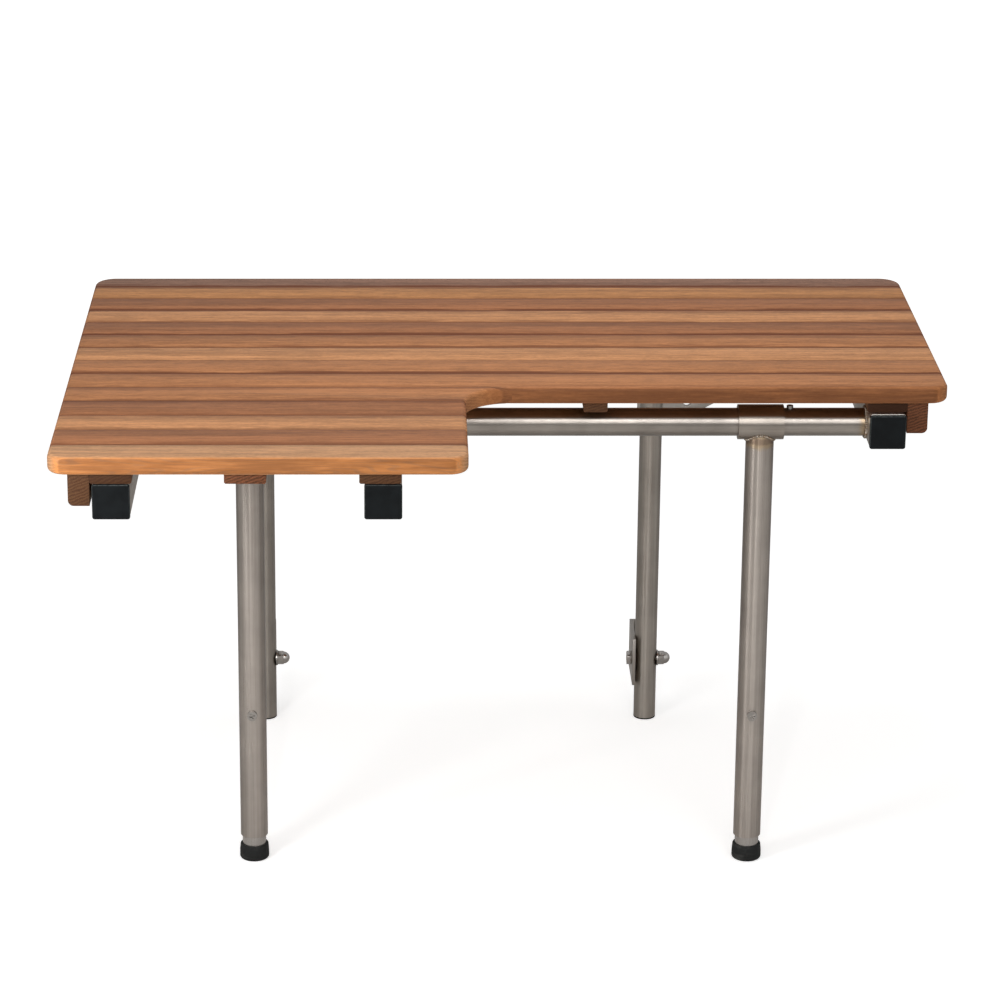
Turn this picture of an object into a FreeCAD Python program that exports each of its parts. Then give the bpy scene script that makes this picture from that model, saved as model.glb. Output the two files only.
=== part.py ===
import FreeCAD, Part
import math
import os
import re
import Sketcher

# A fold-down wall seat: a panel of wooden slats on a steel frame that hinges
# up against a wall, with two swinging legs in front and two posts at the wall.
# +X runs along the wall, to the right of someone who faces it, -Y points out
# into the room and +Z is up. The origin is in the wall's face, at the centre
# of the four screws that hold the wall plates. A height is above the floor
# unless its note says where it starts.

doc = FreeCAD.newDocument("FoldDownWallSeat")
sheet = doc.addObject("Spreadsheet::Sheet", "Sizes")

SIZES = (
    ("seat_height", 470.0, "top of the slats above the floor"),
    ("seat_width", 787.0, "whole width of the seat"),
    ("deep_part_width", 355.5, "width of the deep part, on the left"),
    ("wall_gap", 60.0, "wall to the back edge of the seat"),
    ("slat_thickness", 16.0, "thickness of a slat"),
    ("slat_width", 41.35, "front to back of a middle slat"),
    ("end_slat_width", 34.9, "front to back of the first and the last slat"),
    ("slat_count", 14, "slats in the deep part"),
    ("full_slat_count", 9, "slats that run the whole width"),
    ("back_corner_radius", 20.0, "back corners of the panel in plan"),
    ("front_corner_radius", 16.0, "front corners of the panel in plan"),
    ("notch_radius", 42.0, "inner corner of the panel in plan"),
    ("edge_round", 4.0, "rounding of the panel's top and bottom edges"),
    ("batten_width", 35.5, "battens between the panel and the arms"),
    ("batten_thickness", 9.5, "thickness of every batten"),
    ("batten_setback", 7.0, "end of a batten behind the panel's edge"),
    ("middle_batten_shift", 2.5, "middle batten to the left of its arm's middle"),
    ("batten_chamfer", 1.2, "lower long edges of a batten"),
    ("free_batten_x", 113.5, "free batten to the right of the left arm, middle to middle"),
    ("narrow_batten_x", 261.0, "narrow batten to the left of the right arm, middle to middle"),
    ("narrow_batten_width", 21.6, "width of the narrow batten"),
    ("cleat_width", 18.3, "wooden cleat along the outer side of an arm"),
    ("cleat_height", 29.2, "height of a cleat"),
    ("cleat_round", 5.0, "lower outer edge of a cleat"),
    ("cleat_gap", 0.2, "cleat to the batten beside it"),
    ("arm_size", 31.75, "outside of the square tube of an arm"),
    ("arm_wall", 2.1, "wall of the square tube"),
    ("arm_corner", 2.6, "outer corner radius of the square tube"),
    ("arm_inset", 53.5, "middle of an outer arm from the side of the seat"),
    ("middle_arm_x", 72.0, "middle of the middle arm from the inner side of the deep part"),
    ("arm_setback", 6.0, "plug face behind the deep part's front edge"),
    ("right_arm_overhang", 3.0, "plug face before the shallow part's front edge"),
    ("arm_tail", 22.0, "arm behind the hinge line"),
    ("plug_width", 32.2, "flange of an arm plug, side to side"),
    ("plug_height", 31.2, "flange of an arm plug, top to bottom"),
    ("plug_thickness", 4.0, "flange of an arm plug, front to back"),
    ("plug_depth", 16.0, "tongue of an arm plug inside the tube"),
    ("plug_corner", 2.2, "corners of the plug's face"),
    ("plug_round", 1.5, "edges of the plug's face"),
    ("plug_drop", 0.3, "flange's middle below the arm's"),
    ("plug_clearance", 0.1, "tongue to the inside of the tube"),
    ("bar_diameter", 25.4, "round crossbars"),
    ("bar_wall", 1.65, "wall of the crossbars"),
    ("bar_drop", 0.5, "sleeves on the crossbars below the battens"),
    ("bar_hole_clearance", 0.1, "crossbar to its hole in the middle arm"),
    ("front_bar_reach", 335.0, "front crossbar from the seat's back edge"),
    ("hinge_to_wall", 46.0, "hinge line from the wall"),
    ("weld_size", 3.0, "leg of the fillet weld round a crossbar's end"),
    ("weld_edge", 0.2, "thin edge of that weld on the crossbar"),
    ("sleeve_diameter", 31.75, "sleeves that turn on the crossbars"),
    ("sleeve_length", 41.0, "length of a sleeve"),
    ("turn_clearance", 0.08, "sleeve bore to crossbar, each side"),
    ("left_leg_inset", 108.0, "middle of the left leg from the left arm's middle"),
    ("right_leg_inset", 111.0, "middle of the right leg from the right arm's middle"),
    ("leg_diameter", 25.4, "outer tube of a leg"),
    ("leg_wall", 1.5, "wall of a leg's outer tube"),
    ("leg_end_height", 24.0, "lower end of a leg's outer tube"),
    ("slide_clearance", 0.1, "inner tube to outer tube, each side"),
    ("foot_tube_wall", 1.5, "wall of the inner tube"),
    ("foot_tube_top", 186.0, "upper end of the inner tube"),
    ("tip_diameter", 27.4, "rubber tip"),
    ("tip_height", 15.0, "rubber tip"),
    ("tip_floor", 5.0, "rubber under the inner tube"),
    ("tip_bevel", 2.5, "lower edge of the rubber tip"),
    ("tip_taper", 0.6, "upper end of the rubber tip inside its widest"),
    ("lock_screw_height", 148.0, "locking screw on the front of a leg"),
    ("lock_screw_diameter", 5.0, "shank of the locking screw"),
    ("lock_head_diameter", 9.5, "head of the locking screw"),
    ("lock_head_top", 6.5, "flat top of the locking screw's head"),
    ("lock_head_height", 3.0, "head of the locking screw"),
    ("screw_diameter", 4.2, "wood screws and keeper screws"),
    ("screw_clearance", 0.06, "screw to its hole, each side"),
    ("screw_bite", 10.0, "wood screw inside a slat"),
    ("head_diameter", 8.0, "pan head of a screw"),
    ("head_top", 5.8, "flat top of a pan head"),
    ("head_height", 2.8, "pan head of a screw"),
    ("counterbore_diameter", 9.6, "recess for a screw head in wood"),
    ("counterbore_depth", 3.4, "recess in a batten"),
    ("cleat_counterbore", 9.0, "recess in a cleat"),
    ("keeper_offset", 5.7, "keeper screw from the end of a sleeve"),
    ("keeper_length", 4.0, "keeper screw inside the crossbar"),
    ("bolt_height", 107.5, "middle of the wall screws below the top of the seat"),
    ("bolt_rise", 75.0, "lower to upper wall screw"),
    ("bolt_hole_diameter", 9.0, "hole for a wall screw"),
    ("post_spacing", 388.5, "left post to right post, as far as their wall screws"),
    ("post_diameter", 22.2, "posts at the wall"),
    ("post_wall", 1.5, "wall of the posts"),
    ("plate_width", 88.0, "wall plate, side to side"),
    ("plate_height", 115.0, "wall plate, top to bottom"),
    ("plate_thickness", 5.0, "wall plate"),
    ("plate_cut_width", 45.0, "slanted lower corner of a wall plate"),
    ("plate_cut_height", 24.0, "slanted lower corner of a wall plate"),
    ("plate_corner", 5.0, "rounded corners of a wall plate"),
    ("plate_drop", 57.5, "lower end of a plate below the screws' middle"),
    ("bolt_offset", 38.75, "wall screws to the right of their post"),
    ("gusset_thickness", 5.0, "web between post and wall plate"),
    ("gusset_height", 90.0, "web between post and wall plate"),
    ("gusset_rise", 12.0, "web above the plate's lower end"),
    ("post_plug_flange", 1.5, "plug under a post"),
    ("post_plug_depth", 15.0, "plug inside a post"),
    ("cross_bolt_height", 64.0, "bolt through the foot of a post"),
    ("cross_bolt_diameter", 8.0, "bolt through the foot of a post"),
    ("cross_bolt_head", 5.3, "thickness of its head"),
    ("cross_bolt_flats", 13.0, "across the flats of head and nut"),
    ("washer_diameter", 16.0, "washer under the domed nut"),
    ("washer_thickness", 1.5, "washer under the domed nut"),
    ("nut_thickness", 6.0, "hexagon of the domed nut"),
    ("nut_dome_radius", 6.2, "dome of the nut"),
    ("bracket_thickness", 3.0, "lower bracket of a post"),
    ("bracket_height", 50.0, "lower bracket of a post"),
    ("bracket_width", 24.0, "lower bracket along the wall"),
    ("bracket_margin", 14.0, "ear of the bracket beyond the post's middle"),
    ("bracket_bend", 2.0, "inside radius of the bracket's bend"),
    ("bracket_hole_diameter", 7.0, "wall screw of the lower bracket"),
    ("overshoot", 1.0, "how far a cutting tool runs past a face"),
)

for row, (alias, value, note) in enumerate(SIZES, start=1):
    sheet.set(f"A{row}", alias)
    sheet.set(f"B{row}", str(value))
    sheet.setAlias(f"B{row}", alias)
    sheet.set(f"C{row}", note)
doc.recompute()

ALIASES = {alias for alias, value, note in SIZES}
nodes = []

# Heights and depths that several pieces share, each worked out from the sheet.
FLOOR = "(bolt_height - seat_height)"
PANEL_UNDER = "(bolt_height - slat_thickness)"
BATTEN_UNDER = f"({PANEL_UNDER} - batten_thickness)"
ARM_AXIS = f"({BATTEN_UNDER} - arm_size / 2)"
BAR_AXIS = f"({BATTEN_UNDER} - sleeve_diameter / 2 - bar_drop)"
HINGE_Y = "(-hinge_to_wall)"
BACK_EDGE = "(-wall_gap)"
DEEP_EDGE = f"({BACK_EDGE} - 2 * end_slat_width - (slat_count - 2) * slat_width)"
SHALLOW_EDGE = f"({BACK_EDGE} - end_slat_width - (full_slat_count - 1) * slat_width)"
FRONT_BAR_Y = f"({BACK_EDGE} - front_bar_reach)"
OUTER_ARM_X = "(seat_width / 2 - arm_inset)"
MIDDLE_ARM_X = "(deep_part_width - seat_width / 2 - middle_arm_x)"
FREE_BATTEN_X = f"(free_batten_x - {OUTER_ARM_X})"
NARROW_BATTEN_X = f"({OUTER_ARM_X} - narrow_batten_x)"
BAR_HALF_LENGTH = f"({OUTER_ARM_X} - arm_size / 2)"
LEFT_LEG_X = f"(left_leg_inset - {OUTER_ARM_X})"
RIGHT_LEG_X = f"({OUTER_ARM_X} - right_leg_inset)"
LEFT_POST_X = "(-post_spacing / 2 - bolt_offset)"
RIGHT_POST_X = "(post_spacing / 2 - bolt_offset)"

UP = FreeCAD.Rotation()
DOWN = FreeCAD.Rotation(FreeCAD.Vector(1, 0, 0), 180)
RIGHT = FreeCAD.Rotation(FreeCAD.Vector(0, 1, 0), 90)
LEFT = FreeCAD.Rotation(FreeCAD.Vector(0, 1, 0), -90)
FRONT = FreeCAD.Rotation(FreeCAD.Vector(1, 0, 0), 90)
BACK = FreeCAD.Rotation(FreeCAD.Vector(1, 0, 0), -90)

# Two numbers closer than this are the same length.
TINY = 1e-6


def size(alias):
    """The number in one cell of the sheet."""
    return float(sheet.get(alias))


def from_sheet(text):
    """An expression in which every alias points at its cell."""
    return re.sub(r"[a-z_]+", lambda word: f"Sizes.{word[0]}" if word[0] in ALIASES else word[0], text)


def bind(item, **expressions):
    """Tie properties of an object to the sheet."""
    for prop, text in expressions.items():
        item.setExpression(prop, from_sheet(text))
    return item


def place(item, x, y, z, turn=UP):
    """Put an object at a point given by expressions, turned from its own upright."""
    item.Placement = FreeCAD.Placement(FreeCAD.Vector(), turn)
    for letter, text in (("x", x), ("y", y), ("z", z)):
        item.setExpression(f"Placement.Base.{letter}", from_sheet(text))
    return item


def node(item, label):
    """Give a finished sub-part the name that its file gets."""
    item.Label = label
    nodes.append(item)
    return item


def box(name, length, width, height, x, y, z):
    item = doc.addObject("Part::Box", name)
    bind(item, Length=length, Width=width, Height=height)
    return place(item, x, y, z)


def rod(name, radius, length, x, y, z, turn=UP):
    """A round bar from a point, along the direction it is turned to."""
    item = doc.addObject("Part::Cylinder", name)
    bind(item, Radius=radius, Height=length)
    return place(item, x, y, z, turn)


def cut(name, base, *tools):
    """The base without its tools."""
    for index, tool in enumerate(tools):
        item = doc.addObject("Part::Cut", f"{name}_cut_{index}")
        item.Base = base
        item.Tool = tool
        base = item
    return base


def fuse(name, *pieces):
    item = doc.addObject("Part::MultiFuse", f"{name}_joined")
    item.Shapes = list(pieces)
    return item


def group(name, pieces):
    """Several separate solids that share one node or serve as one set of tools."""
    item = doc.addObject("Part::Compound", f"{name}_set")
    item.Links = list(pieces)
    return item


def tube(name, outer_radius, inner_radius, length, x, y, z, turn=UP):
    outside = rod(f"{name}_outside", outer_radius, length, x, y, z, turn)
    inside = rod(f"{name}_inside", inner_radius, length, x, y, z, turn)
    return cut(name, outside, inside)


def new_body(name):
    return doc.addObject("PartDesign::Body", name)


def hold(sketch, point, direction, text):
    """Fix one corner of a sketch along one direction, from the sketch's origin."""
    axis = -2 if direction == "DistanceX" else -1
    if text == "0":
        sketch.addConstraint(Sketcher.Constraint("PointOnObject", point, 1, axis))
        return
    number = sketch.addConstraint(Sketcher.Constraint(direction, -1, 1, point, 1, 1.0))
    sketch.setExpression(f"Constraints[{number}]", from_sheet(text))


def outline(body, plane, corners):
    """A closed sketch of straight lines, each corner held by two dimensions."""
    sketch = body.newObject("Sketcher::SketchObject", f"{body.Name}_outline")
    support = next(part for part in body.Origin.OriginFeatures if part.Role == plane)
    sketch.AttachmentSupport = [(support, "")]
    sketch.MapMode = "FlatFace"
    count = len(corners)
    step = 2 * math.pi / count
    rough = [FreeCAD.Vector(math.cos(step * index), math.sin(step * index), 0) for index in range(count)]
    for index in range(count):
        sketch.addGeometry(Part.LineSegment(rough[index], rough[(index + 1) % count]))
    for index, (across, up) in enumerate(corners):
        sketch.addConstraint(Sketcher.Constraint("Coincident", index, 2, (index + 1) % count, 1))
        hold(sketch, index, "DistanceX", across)
        hold(sketch, index, "DistanceY", up)
    return sketch


def pad(body, sketch, length):
    feature = body.newObject("PartDesign::Pad", f"{body.Name}_pad")
    feature.Profile = sketch
    bind(feature, Length=length)
    doc.recompute()
    return feature


def revolve(body, sketch):
    """A full turn of a sketch about its own upright axis."""
    feature = body.newObject("PartDesign::Revolution", f"{body.Name}_turned")
    feature.Profile = sketch
    feature.ReferenceAxis = (sketch, ["V_Axis"])
    feature.Angle = 360
    doc.recompute()
    return feature


def dress(body, kind, edges, value):
    """Round or chamfer edges of the body's last feature by a size from the sheet."""
    base = body.Tip
    feature = body.newObject(f"PartDesign::{kind}", f"{body.Name}_{kind.lower()}")
    feature.Base = (base, edges)
    bind(feature, **{"Radius" if kind == "Fillet" else "Size": value})
    doc.recompute()
    return feature


def edges_where(shape, test):
    """Names of the straight or curved edges whose middle and direction pass a test."""
    names = []
    for index, edge in enumerate(shape.Edges, start=1):
        middle = edge.valueAt((edge.FirstParameter + edge.LastParameter) / 2)
        run = edge.Vertexes[-1].Point - edge.Vertexes[0].Point
        if test(middle, run):
            names.append(f"Edge{index}")
    return names


def bar_profile(name, left, right, bottom, top, length):
    """A straight bar of rectangular section that runs from y = 0 towards the room."""
    body = new_body(name)
    corners = ((left, bottom), (right, bottom), (right, top), (left, top))
    pad(body, outline(body, "XZ_Plane", corners), length)
    return body


def slat_back(number):
    """Distance from the panel's back edge to the back edge of a slat."""
    return "0" if number == 1 else f"(end_slat_width + {number - 2} * slat_width)"


def slat_depth(number):
    ends = (1, int(size("slat_count")))
    return "end_slat_width" if number in ends else "slat_width"


def slat_middle_y(number):
    return f"({BACK_EDGE} - {slat_back(number)} - {slat_depth(number)} / 2)"


def screwed_slats(limit):
    """Every third slat from the second one, and in the deep part also the last but one."""
    chosen = set(range(2, limit, 3))
    if limit > int(size("full_slat_count")):
        chosen.add(limit - 1)
    return sorted(chosen)


DEEP_ROW = screwed_slats(int(size("slat_count")))
SHALLOW_ROW = screwed_slats(int(size("full_slat_count")))


def pan_head(name, diameter, top, height, x, y, z, turn):
    """A screw head: wide where it sits, narrower on top."""
    head = doc.addObject("Part::Cone", name)
    bind(head, Radius1=f"{diameter} / 2", Radius2=f"{top} / 2", Height=height)
    return place(head, x, y, z, turn)


def wood_screw(name, x, y, head_z, length):
    """A pan-head screw that points up from under its carrier."""
    shank = rod(f"{name}_shank", "screw_diameter / 2", length, x, y, head_z)
    head = pan_head(f"{name}_head", "head_diameter", "head_top", "head_height", x, y, head_z, DOWN)
    return fuse(name, shank, head)


def screw_hole(name, x, y, head_z, length):
    """The hole that a wood screw runs in, from its head upwards."""
    return rod(f"{name}_hole", "screw_diameter / 2 + screw_clearance", length, x, y, head_z)


CLEAT_X = f"({OUTER_ARM_X} + batten_width / 2 + cleat_gap + cleat_width / 2)"
CLEAT_UNDER = f"({PANEL_UNDER} - cleat_height)"
ARM_UNDER = f"({ARM_AXIS} - arm_size / 2)"
ARM_SCREW = (ARM_UNDER, "(arm_size + batten_thickness + screw_bite)")
BATTEN_HEAD = f"({BATTEN_UNDER} + counterbore_depth)"
BATTEN_SCREW = (BATTEN_HEAD, "(batten_thickness - counterbore_depth + screw_bite)")
CLEAT_HEAD = f"({CLEAT_UNDER} + cleat_counterbore)"
CLEAT_SCREW = (CLEAT_HEAD, "(cleat_height - cleat_counterbore + screw_bite)")

# Each row of wood screws: its place across the seat, its slats, and the height
# of the heads with the length of the shanks.
SCREW_ROWS = {
    "left_arm": (f"(-{OUTER_ARM_X})", DEEP_ROW, *ARM_SCREW),
    "middle_arm": (MIDDLE_ARM_X, DEEP_ROW, *ARM_SCREW),
    "right_arm": (OUTER_ARM_X, SHALLOW_ROW, *ARM_SCREW),
    "free_batten": (FREE_BATTEN_X, DEEP_ROW, *BATTEN_SCREW),
    "narrow_batten": (NARROW_BATTEN_X, SHALLOW_ROW, *BATTEN_SCREW),
    "left_cleat": (f"(-{CLEAT_X})", DEEP_ROW, *CLEAT_SCREW),
    "right_cleat": (CLEAT_X, SHALLOW_ROW, *CLEAT_SCREW),
}


def screw_row(carrier, make):
    """One solid per screw of a row, made by the given function."""
    x, slats, head_z, length = SCREW_ROWS[carrier]
    return [make(f"{carrier}_{number}", x, slat_middle_y(number), head_z, length) for number in slats]


def recess_row(carrier, under, depth):
    """The recesses in wood for the heads of one row of screws."""
    x, slats, head_z, length = SCREW_ROWS[carrier]
    radius = "counterbore_diameter / 2"
    return [rod(f"{carrier}_{number}_recess", radius, depth, x, slat_middle_y(number), under)
            for number in slats]


def make_wood_screws():
    sets = {
        "arm_screws": ("left_arm", "middle_arm", "right_arm"),
        "batten_screws": ("free_batten", "narrow_batten"),
        "cleat_screws": ("left_cleat", "right_cleat"),
    }
    for label, carriers in sets.items():
        screws = [screw for carrier in carriers for screw in screw_row(carrier, wood_screw)]
        node(group(label, screws), label)


def make_panel():
    """The whole seat panel: an L in plan with rounded corners and edges, drilled from below."""
    body = new_body("panel")
    half = "(seat_width / 2)"
    inner = f"(deep_part_width - {half})"
    corners = (
        (f"(-{half})", DEEP_EDGE),
        (inner, DEEP_EDGE),
        (inner, SHALLOW_EDGE),
        (half, SHALLOW_EDGE),
        (half, BACK_EDGE),
        (f"(-{half})", BACK_EDGE),
    )
    pad(body, outline(body, "XY_Plane", corners), "slat_thickness")
    notch_x = size("deep_part_width") - size("seat_width") / 2
    middle_y = -size("wall_gap") - 2 * size("end_slat_width")

    def upright(run):
        return abs(run.z) > TINY and abs(run.x) + abs(run.y) < TINY

    def at_notch(point):
        return abs(point.x - notch_x) < TINY and point.y > body.Shape.BoundBox.YMin + size("overshoot")

    inner_corner = edges_where(body.Shape, lambda p, run: upright(run) and at_notch(p))
    dress(body, "Fillet", inner_corner, "notch_radius")
    back_corners = edges_where(body.Shape, lambda p, run: upright(run) and p.y > middle_y)
    dress(body, "Fillet", back_corners, "back_corner_radius")
    front_corners = edges_where(
        body.Shape, lambda p, run: upright(run) and p.y < middle_y and not near_arc(body.Shape, p))
    dress(body, "Fillet", front_corners, "front_corner_radius")
    thickness = size("slat_thickness")
    flat = edges_where(body.Shape, lambda p, run: min(abs(p.z), abs(p.z - thickness)) < TINY)
    dress(body, "Fillet", flat, "edge_round")
    place(body, "0", "0", PANEL_UNDER)
    holes = [hole for carrier in SCREW_ROWS for hole in screw_row(carrier, screw_hole)]
    return cut("panel_drilled", body, group("panel_holes", holes))


def near_arc(shape, point):
    """True where an upright edge belongs to a corner that is rounded already."""
    for face in shape.Faces:
        if face.Surface.TypeId == "Part::GeomCylinder" and face.distToShape(Part.Vertex(point))[0] < TINY:
            return True
    return False


def make_slats():
    """The panel comes apart into its slats, glued edge to edge."""
    panel = make_panel()
    for number in range(1, int(size("slat_count")) + 1):
        label = f"slat_{number:02d}"
        front_y = f"({BACK_EDGE} - {slat_back(number)} - {slat_depth(number)})"
        strip = box(f"{label}_strip", "seat_width + 2 * overshoot", slat_depth(number),
                    "slat_thickness + 2 * overshoot", "-seat_width / 2 - overshoot", front_y,
                    f"{PANEL_UNDER} - overshoot")
        piece = doc.addObject("Part::Common", f"{label}_piece")
        piece.Base = panel
        piece.Tool = strip
        node(piece, label)


def make_batten(label, x, width, edge, carrier):
    """A wooden batten under the panel, its lower long edges chamfered."""
    length = f"{BACK_EDGE} - {edge} - 2 * batten_setback"
    half = f"({width} / 2)"
    body = bar_profile(f"{label}_wood", f"(-{half})", half, "(-batten_thickness)", "0", length)
    low = -size("batten_thickness")
    long_low = edges_where(body.Shape, lambda p, run: abs(p.z - low) < TINY and abs(run.y) > TINY)
    dress(body, "Chamfer", long_low, "batten_chamfer")
    place(body, x, f"{BACK_EDGE} - batten_setback", PANEL_UNDER)
    tools = screw_row(carrier, screw_hole)
    if carrier == label:
        tools += recess_row(carrier, BATTEN_UNDER, "counterbore_depth")
    node(cut(label, body, group(f"{label}_holes", tools)), label)


def make_battens():
    middle_x = f"({MIDDLE_ARM_X} - middle_batten_shift)"
    make_batten("left_batten", f"(-{OUTER_ARM_X})", "batten_width", DEEP_EDGE, "left_arm")
    make_batten("middle_batten", middle_x, "batten_width", DEEP_EDGE, "middle_arm")
    make_batten("right_batten", OUTER_ARM_X, "batten_width", SHALLOW_EDGE, "right_arm")
    make_batten("free_batten", FREE_BATTEN_X, "batten_width", DEEP_EDGE, "free_batten")
    make_batten("narrow_batten", NARROW_BATTEN_X, "narrow_batten_width", SHALLOW_EDGE, "narrow_batten")


def make_cleat(label, side, edge):
    """A tall wooden cleat outside an outer arm, its lower outer edge rounded."""
    length = f"{BACK_EDGE} - {edge} - 2 * batten_setback"
    half = "(cleat_width / 2)"
    body = bar_profile(f"{label}_wood", f"(-{half})", half, "(-cleat_height)", "0", length)
    low = -size("cleat_height")
    low_outer = edges_where(
        body.Shape, lambda p, run: abs(p.z - low) < TINY and abs(run.y) > TINY and p.x * side > 0)
    dress(body, "Fillet", low_outer, "cleat_round")
    place(body, SCREW_ROWS[label][0], f"{BACK_EDGE} - batten_setback", PANEL_UNDER)
    tools = screw_row(label, screw_hole) + recess_row(label, CLEAT_UNDER, "cleat_counterbore")
    node(cut(label, body, group(f"{label}_holes", tools)), label)


def make_arm(label, x, front_y, crossed=False):
    """A square tube under the seat, drilled for its screws and, in the middle, for the crossbars."""
    length = f"{HINGE_Y} + arm_tail - {front_y}"
    half = "(arm_size / 2)"
    hollow = "(arm_size / 2 - arm_wall)"
    outside = bar_profile(f"{label}_outside", f"(-{half})", half, f"(-{half})", half, length)
    corners = edges_where(outside.Shape, lambda p, run: abs(run.y) > TINY)
    dress(outside, "Fillet", corners, "arm_corner")
    place(outside, x, f"{HINGE_Y} + arm_tail", ARM_AXIS)
    inside = bar_profile(f"{label}_inside", f"(-{hollow})", hollow, f"(-{hollow})", hollow, length)
    place(inside, x, f"{HINGE_Y} + arm_tail", ARM_AXIS)
    tools = screw_row(label, screw_hole)
    if crossed:
        radius = "bar_diameter / 2 + bar_hole_clearance"
        for bar, bar_y in (("front", FRONT_BAR_Y), ("rear", HINGE_Y)):
            tools.append(rod(f"{label}_{bar}_bar_hole", radius, "arm_size + 2 * overshoot",
                             f"{x} - arm_size / 2 - overshoot", bar_y, BAR_AXIS, RIGHT))
    node(cut(label, outside, inside, group(f"{label}_holes", tools)), label)


LONG_ARM_FRONT = f"({DEEP_EDGE} + arm_setback + plug_thickness)"
SHORT_ARM_FRONT = f"({SHALLOW_EDGE} - right_arm_overhang + plug_thickness)"

# The tongue of a rear plug ends short of the rear crossbar.
REAR_PLUG_DEPTH = "(arm_tail - bar_diameter / 2 - overshoot)"


def make_plug(name, x, y, depth, turn):
    """A black plastic plug: a flange on the tube's end and a tongue inside it."""
    flange = bar_profile(f"{name}_flange", "(-plug_width / 2)", "(plug_width / 2)",
                         "(-plug_height / 2)", "(plug_height / 2)", "plug_thickness")
    corners = edges_where(flange.Shape, lambda p, run: abs(run.y) > TINY)
    dress(flange, "Fillet", corners, "plug_corner")
    face_y = -size("plug_thickness")
    face = edges_where(flange.Shape, lambda p, run: abs(p.y - face_y) < TINY)
    dress(flange, "Fillet", face, "plug_round")
    place(flange, x, y, f"{ARM_AXIS} - plug_drop", turn)
    side = "(arm_size - 2 * arm_wall - 2 * plug_clearance)"
    tongue_y = y if turn == UP else f"{y} - {depth}"
    tongue = box(f"{name}_tongue", side, depth, side,
                 f"{x} - {side} / 2", tongue_y, f"{ARM_AXIS} - {side} / 2")
    return fuse(name, flange, tongue)


def make_arms():
    turned = FreeCAD.Rotation(FreeCAD.Vector(0, 0, 1), 180)
    places = (
        ("left_arm", f"(-{OUTER_ARM_X})", LONG_ARM_FRONT, False),
        ("middle_arm", MIDDLE_ARM_X, LONG_ARM_FRONT, True),
        ("right_arm", OUTER_ARM_X, SHORT_ARM_FRONT, False),
    )
    rear_plugs = []
    for label, x, front_y, crossed in places:
        make_arm(label, x, front_y, crossed)
        node(make_plug(f"{label}_front_plug", x, front_y, "plug_depth", UP), f"{label}_front_plug")
        tail_y = f"({HINGE_Y} + arm_tail)"
        rear_plugs.append(make_plug(f"{label}_rear_plug", x, tail_y, REAR_PLUG_DEPTH, turned))
    node(group("arm_rear_plugs", rear_plugs), "arm_rear_plugs")


# A keeper screw stands beside each end of each sleeve. On the front crossbar
# the outer ones stand on top and the inner ones at the back.
def keeper_places():
    reach = "(sleeve_length / 2 + keeper_offset)"
    return (
        ("left_leg_outer", f"({LEFT_LEG_X} - {reach})", FRONT_BAR_Y, UP),
        ("left_leg_inner", f"({LEFT_LEG_X} + {reach})", FRONT_BAR_Y, BACK),
        ("right_leg_inner", f"({RIGHT_LEG_X} - {reach})", FRONT_BAR_Y, BACK),
        ("right_leg_outer", f"({RIGHT_LEG_X} + {reach})", FRONT_BAR_Y, UP),
        ("left_post_outer", f"({LEFT_POST_X} - {reach})", HINGE_Y, UP),
        ("left_post_inner", f"({LEFT_POST_X} + {reach})", HINGE_Y, UP),
        ("right_post_inner", f"({RIGHT_POST_X} - {reach})", HINGE_Y, UP),
        ("right_post_outer", f"({RIGHT_POST_X} + {reach})", HINGE_Y, UP),
    )


def keeper_point(bar_y, turn, distance):
    """Height and depth of a point at a distance from a crossbar's axis, above or behind it."""
    if turn == UP:
        return bar_y, f"({BAR_AXIS} + {distance})"
    return f"({bar_y} + {distance})", BAR_AXIS


def make_keeper_screws():
    screws = []
    for name, x, bar_y, turn in keeper_places():
        y, z = keeper_point(bar_y, turn, "(bar_diameter / 2 - keeper_length)")
        shank = rod(f"{name}_keeper_shank", "screw_diameter / 2", "keeper_length", x, y, z, turn)
        head_y, head_z = keeper_point(bar_y, turn, "(bar_diameter / 2)")
        head = pan_head(f"{name}_keeper_head", "head_diameter", "head_top", "head_height",
                        x, head_y, head_z, turn)
        screws.append(fuse(f"{name}_keeper", shank, head))
    node(group("keeper_screws", screws), "keeper_screws")


def make_crossbar(label, bar_y):
    """A round tube between the outer arms, with holes for its keeper screws."""
    bar = tube(label, "bar_diameter / 2", "bar_diameter / 2 - bar_wall", f"2 * {BAR_HALF_LENGTH}",
               f"-{BAR_HALF_LENGTH}", bar_y, BAR_AXIS, RIGHT)
    holes = []
    for name, x, own_y, turn in keeper_places():
        if own_y == bar_y:
            y, z = keeper_point(bar_y, turn, "(bar_diameter / 2 - keeper_length)")
            holes.append(rod(f"{name}_keeper_hole", "screw_diameter / 2 + screw_clearance",
                             "keeper_length + overshoot", x, y, z, turn))
    node(cut(f"{label}_drilled", bar, group(f"{label}_holes", holes)), label)


def fillet_weld(name, x, bar_y, turn):
    """A ring of weld round a crossbar, wide at the arm's face and thin along the bar."""
    ring = doc.addObject("Part::Cone", f"{name}_ring")
    bind(ring, Radius1="bar_diameter / 2 + weld_size", Radius2="bar_diameter / 2 + weld_edge",
         Height="weld_size")
    place(ring, x, bar_y, BAR_AXIS, turn)
    core = rod(f"{name}_core", "bar_diameter / 2", "weld_size", x, bar_y, BAR_AXIS, turn)
    return cut(name, ring, core)


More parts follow.
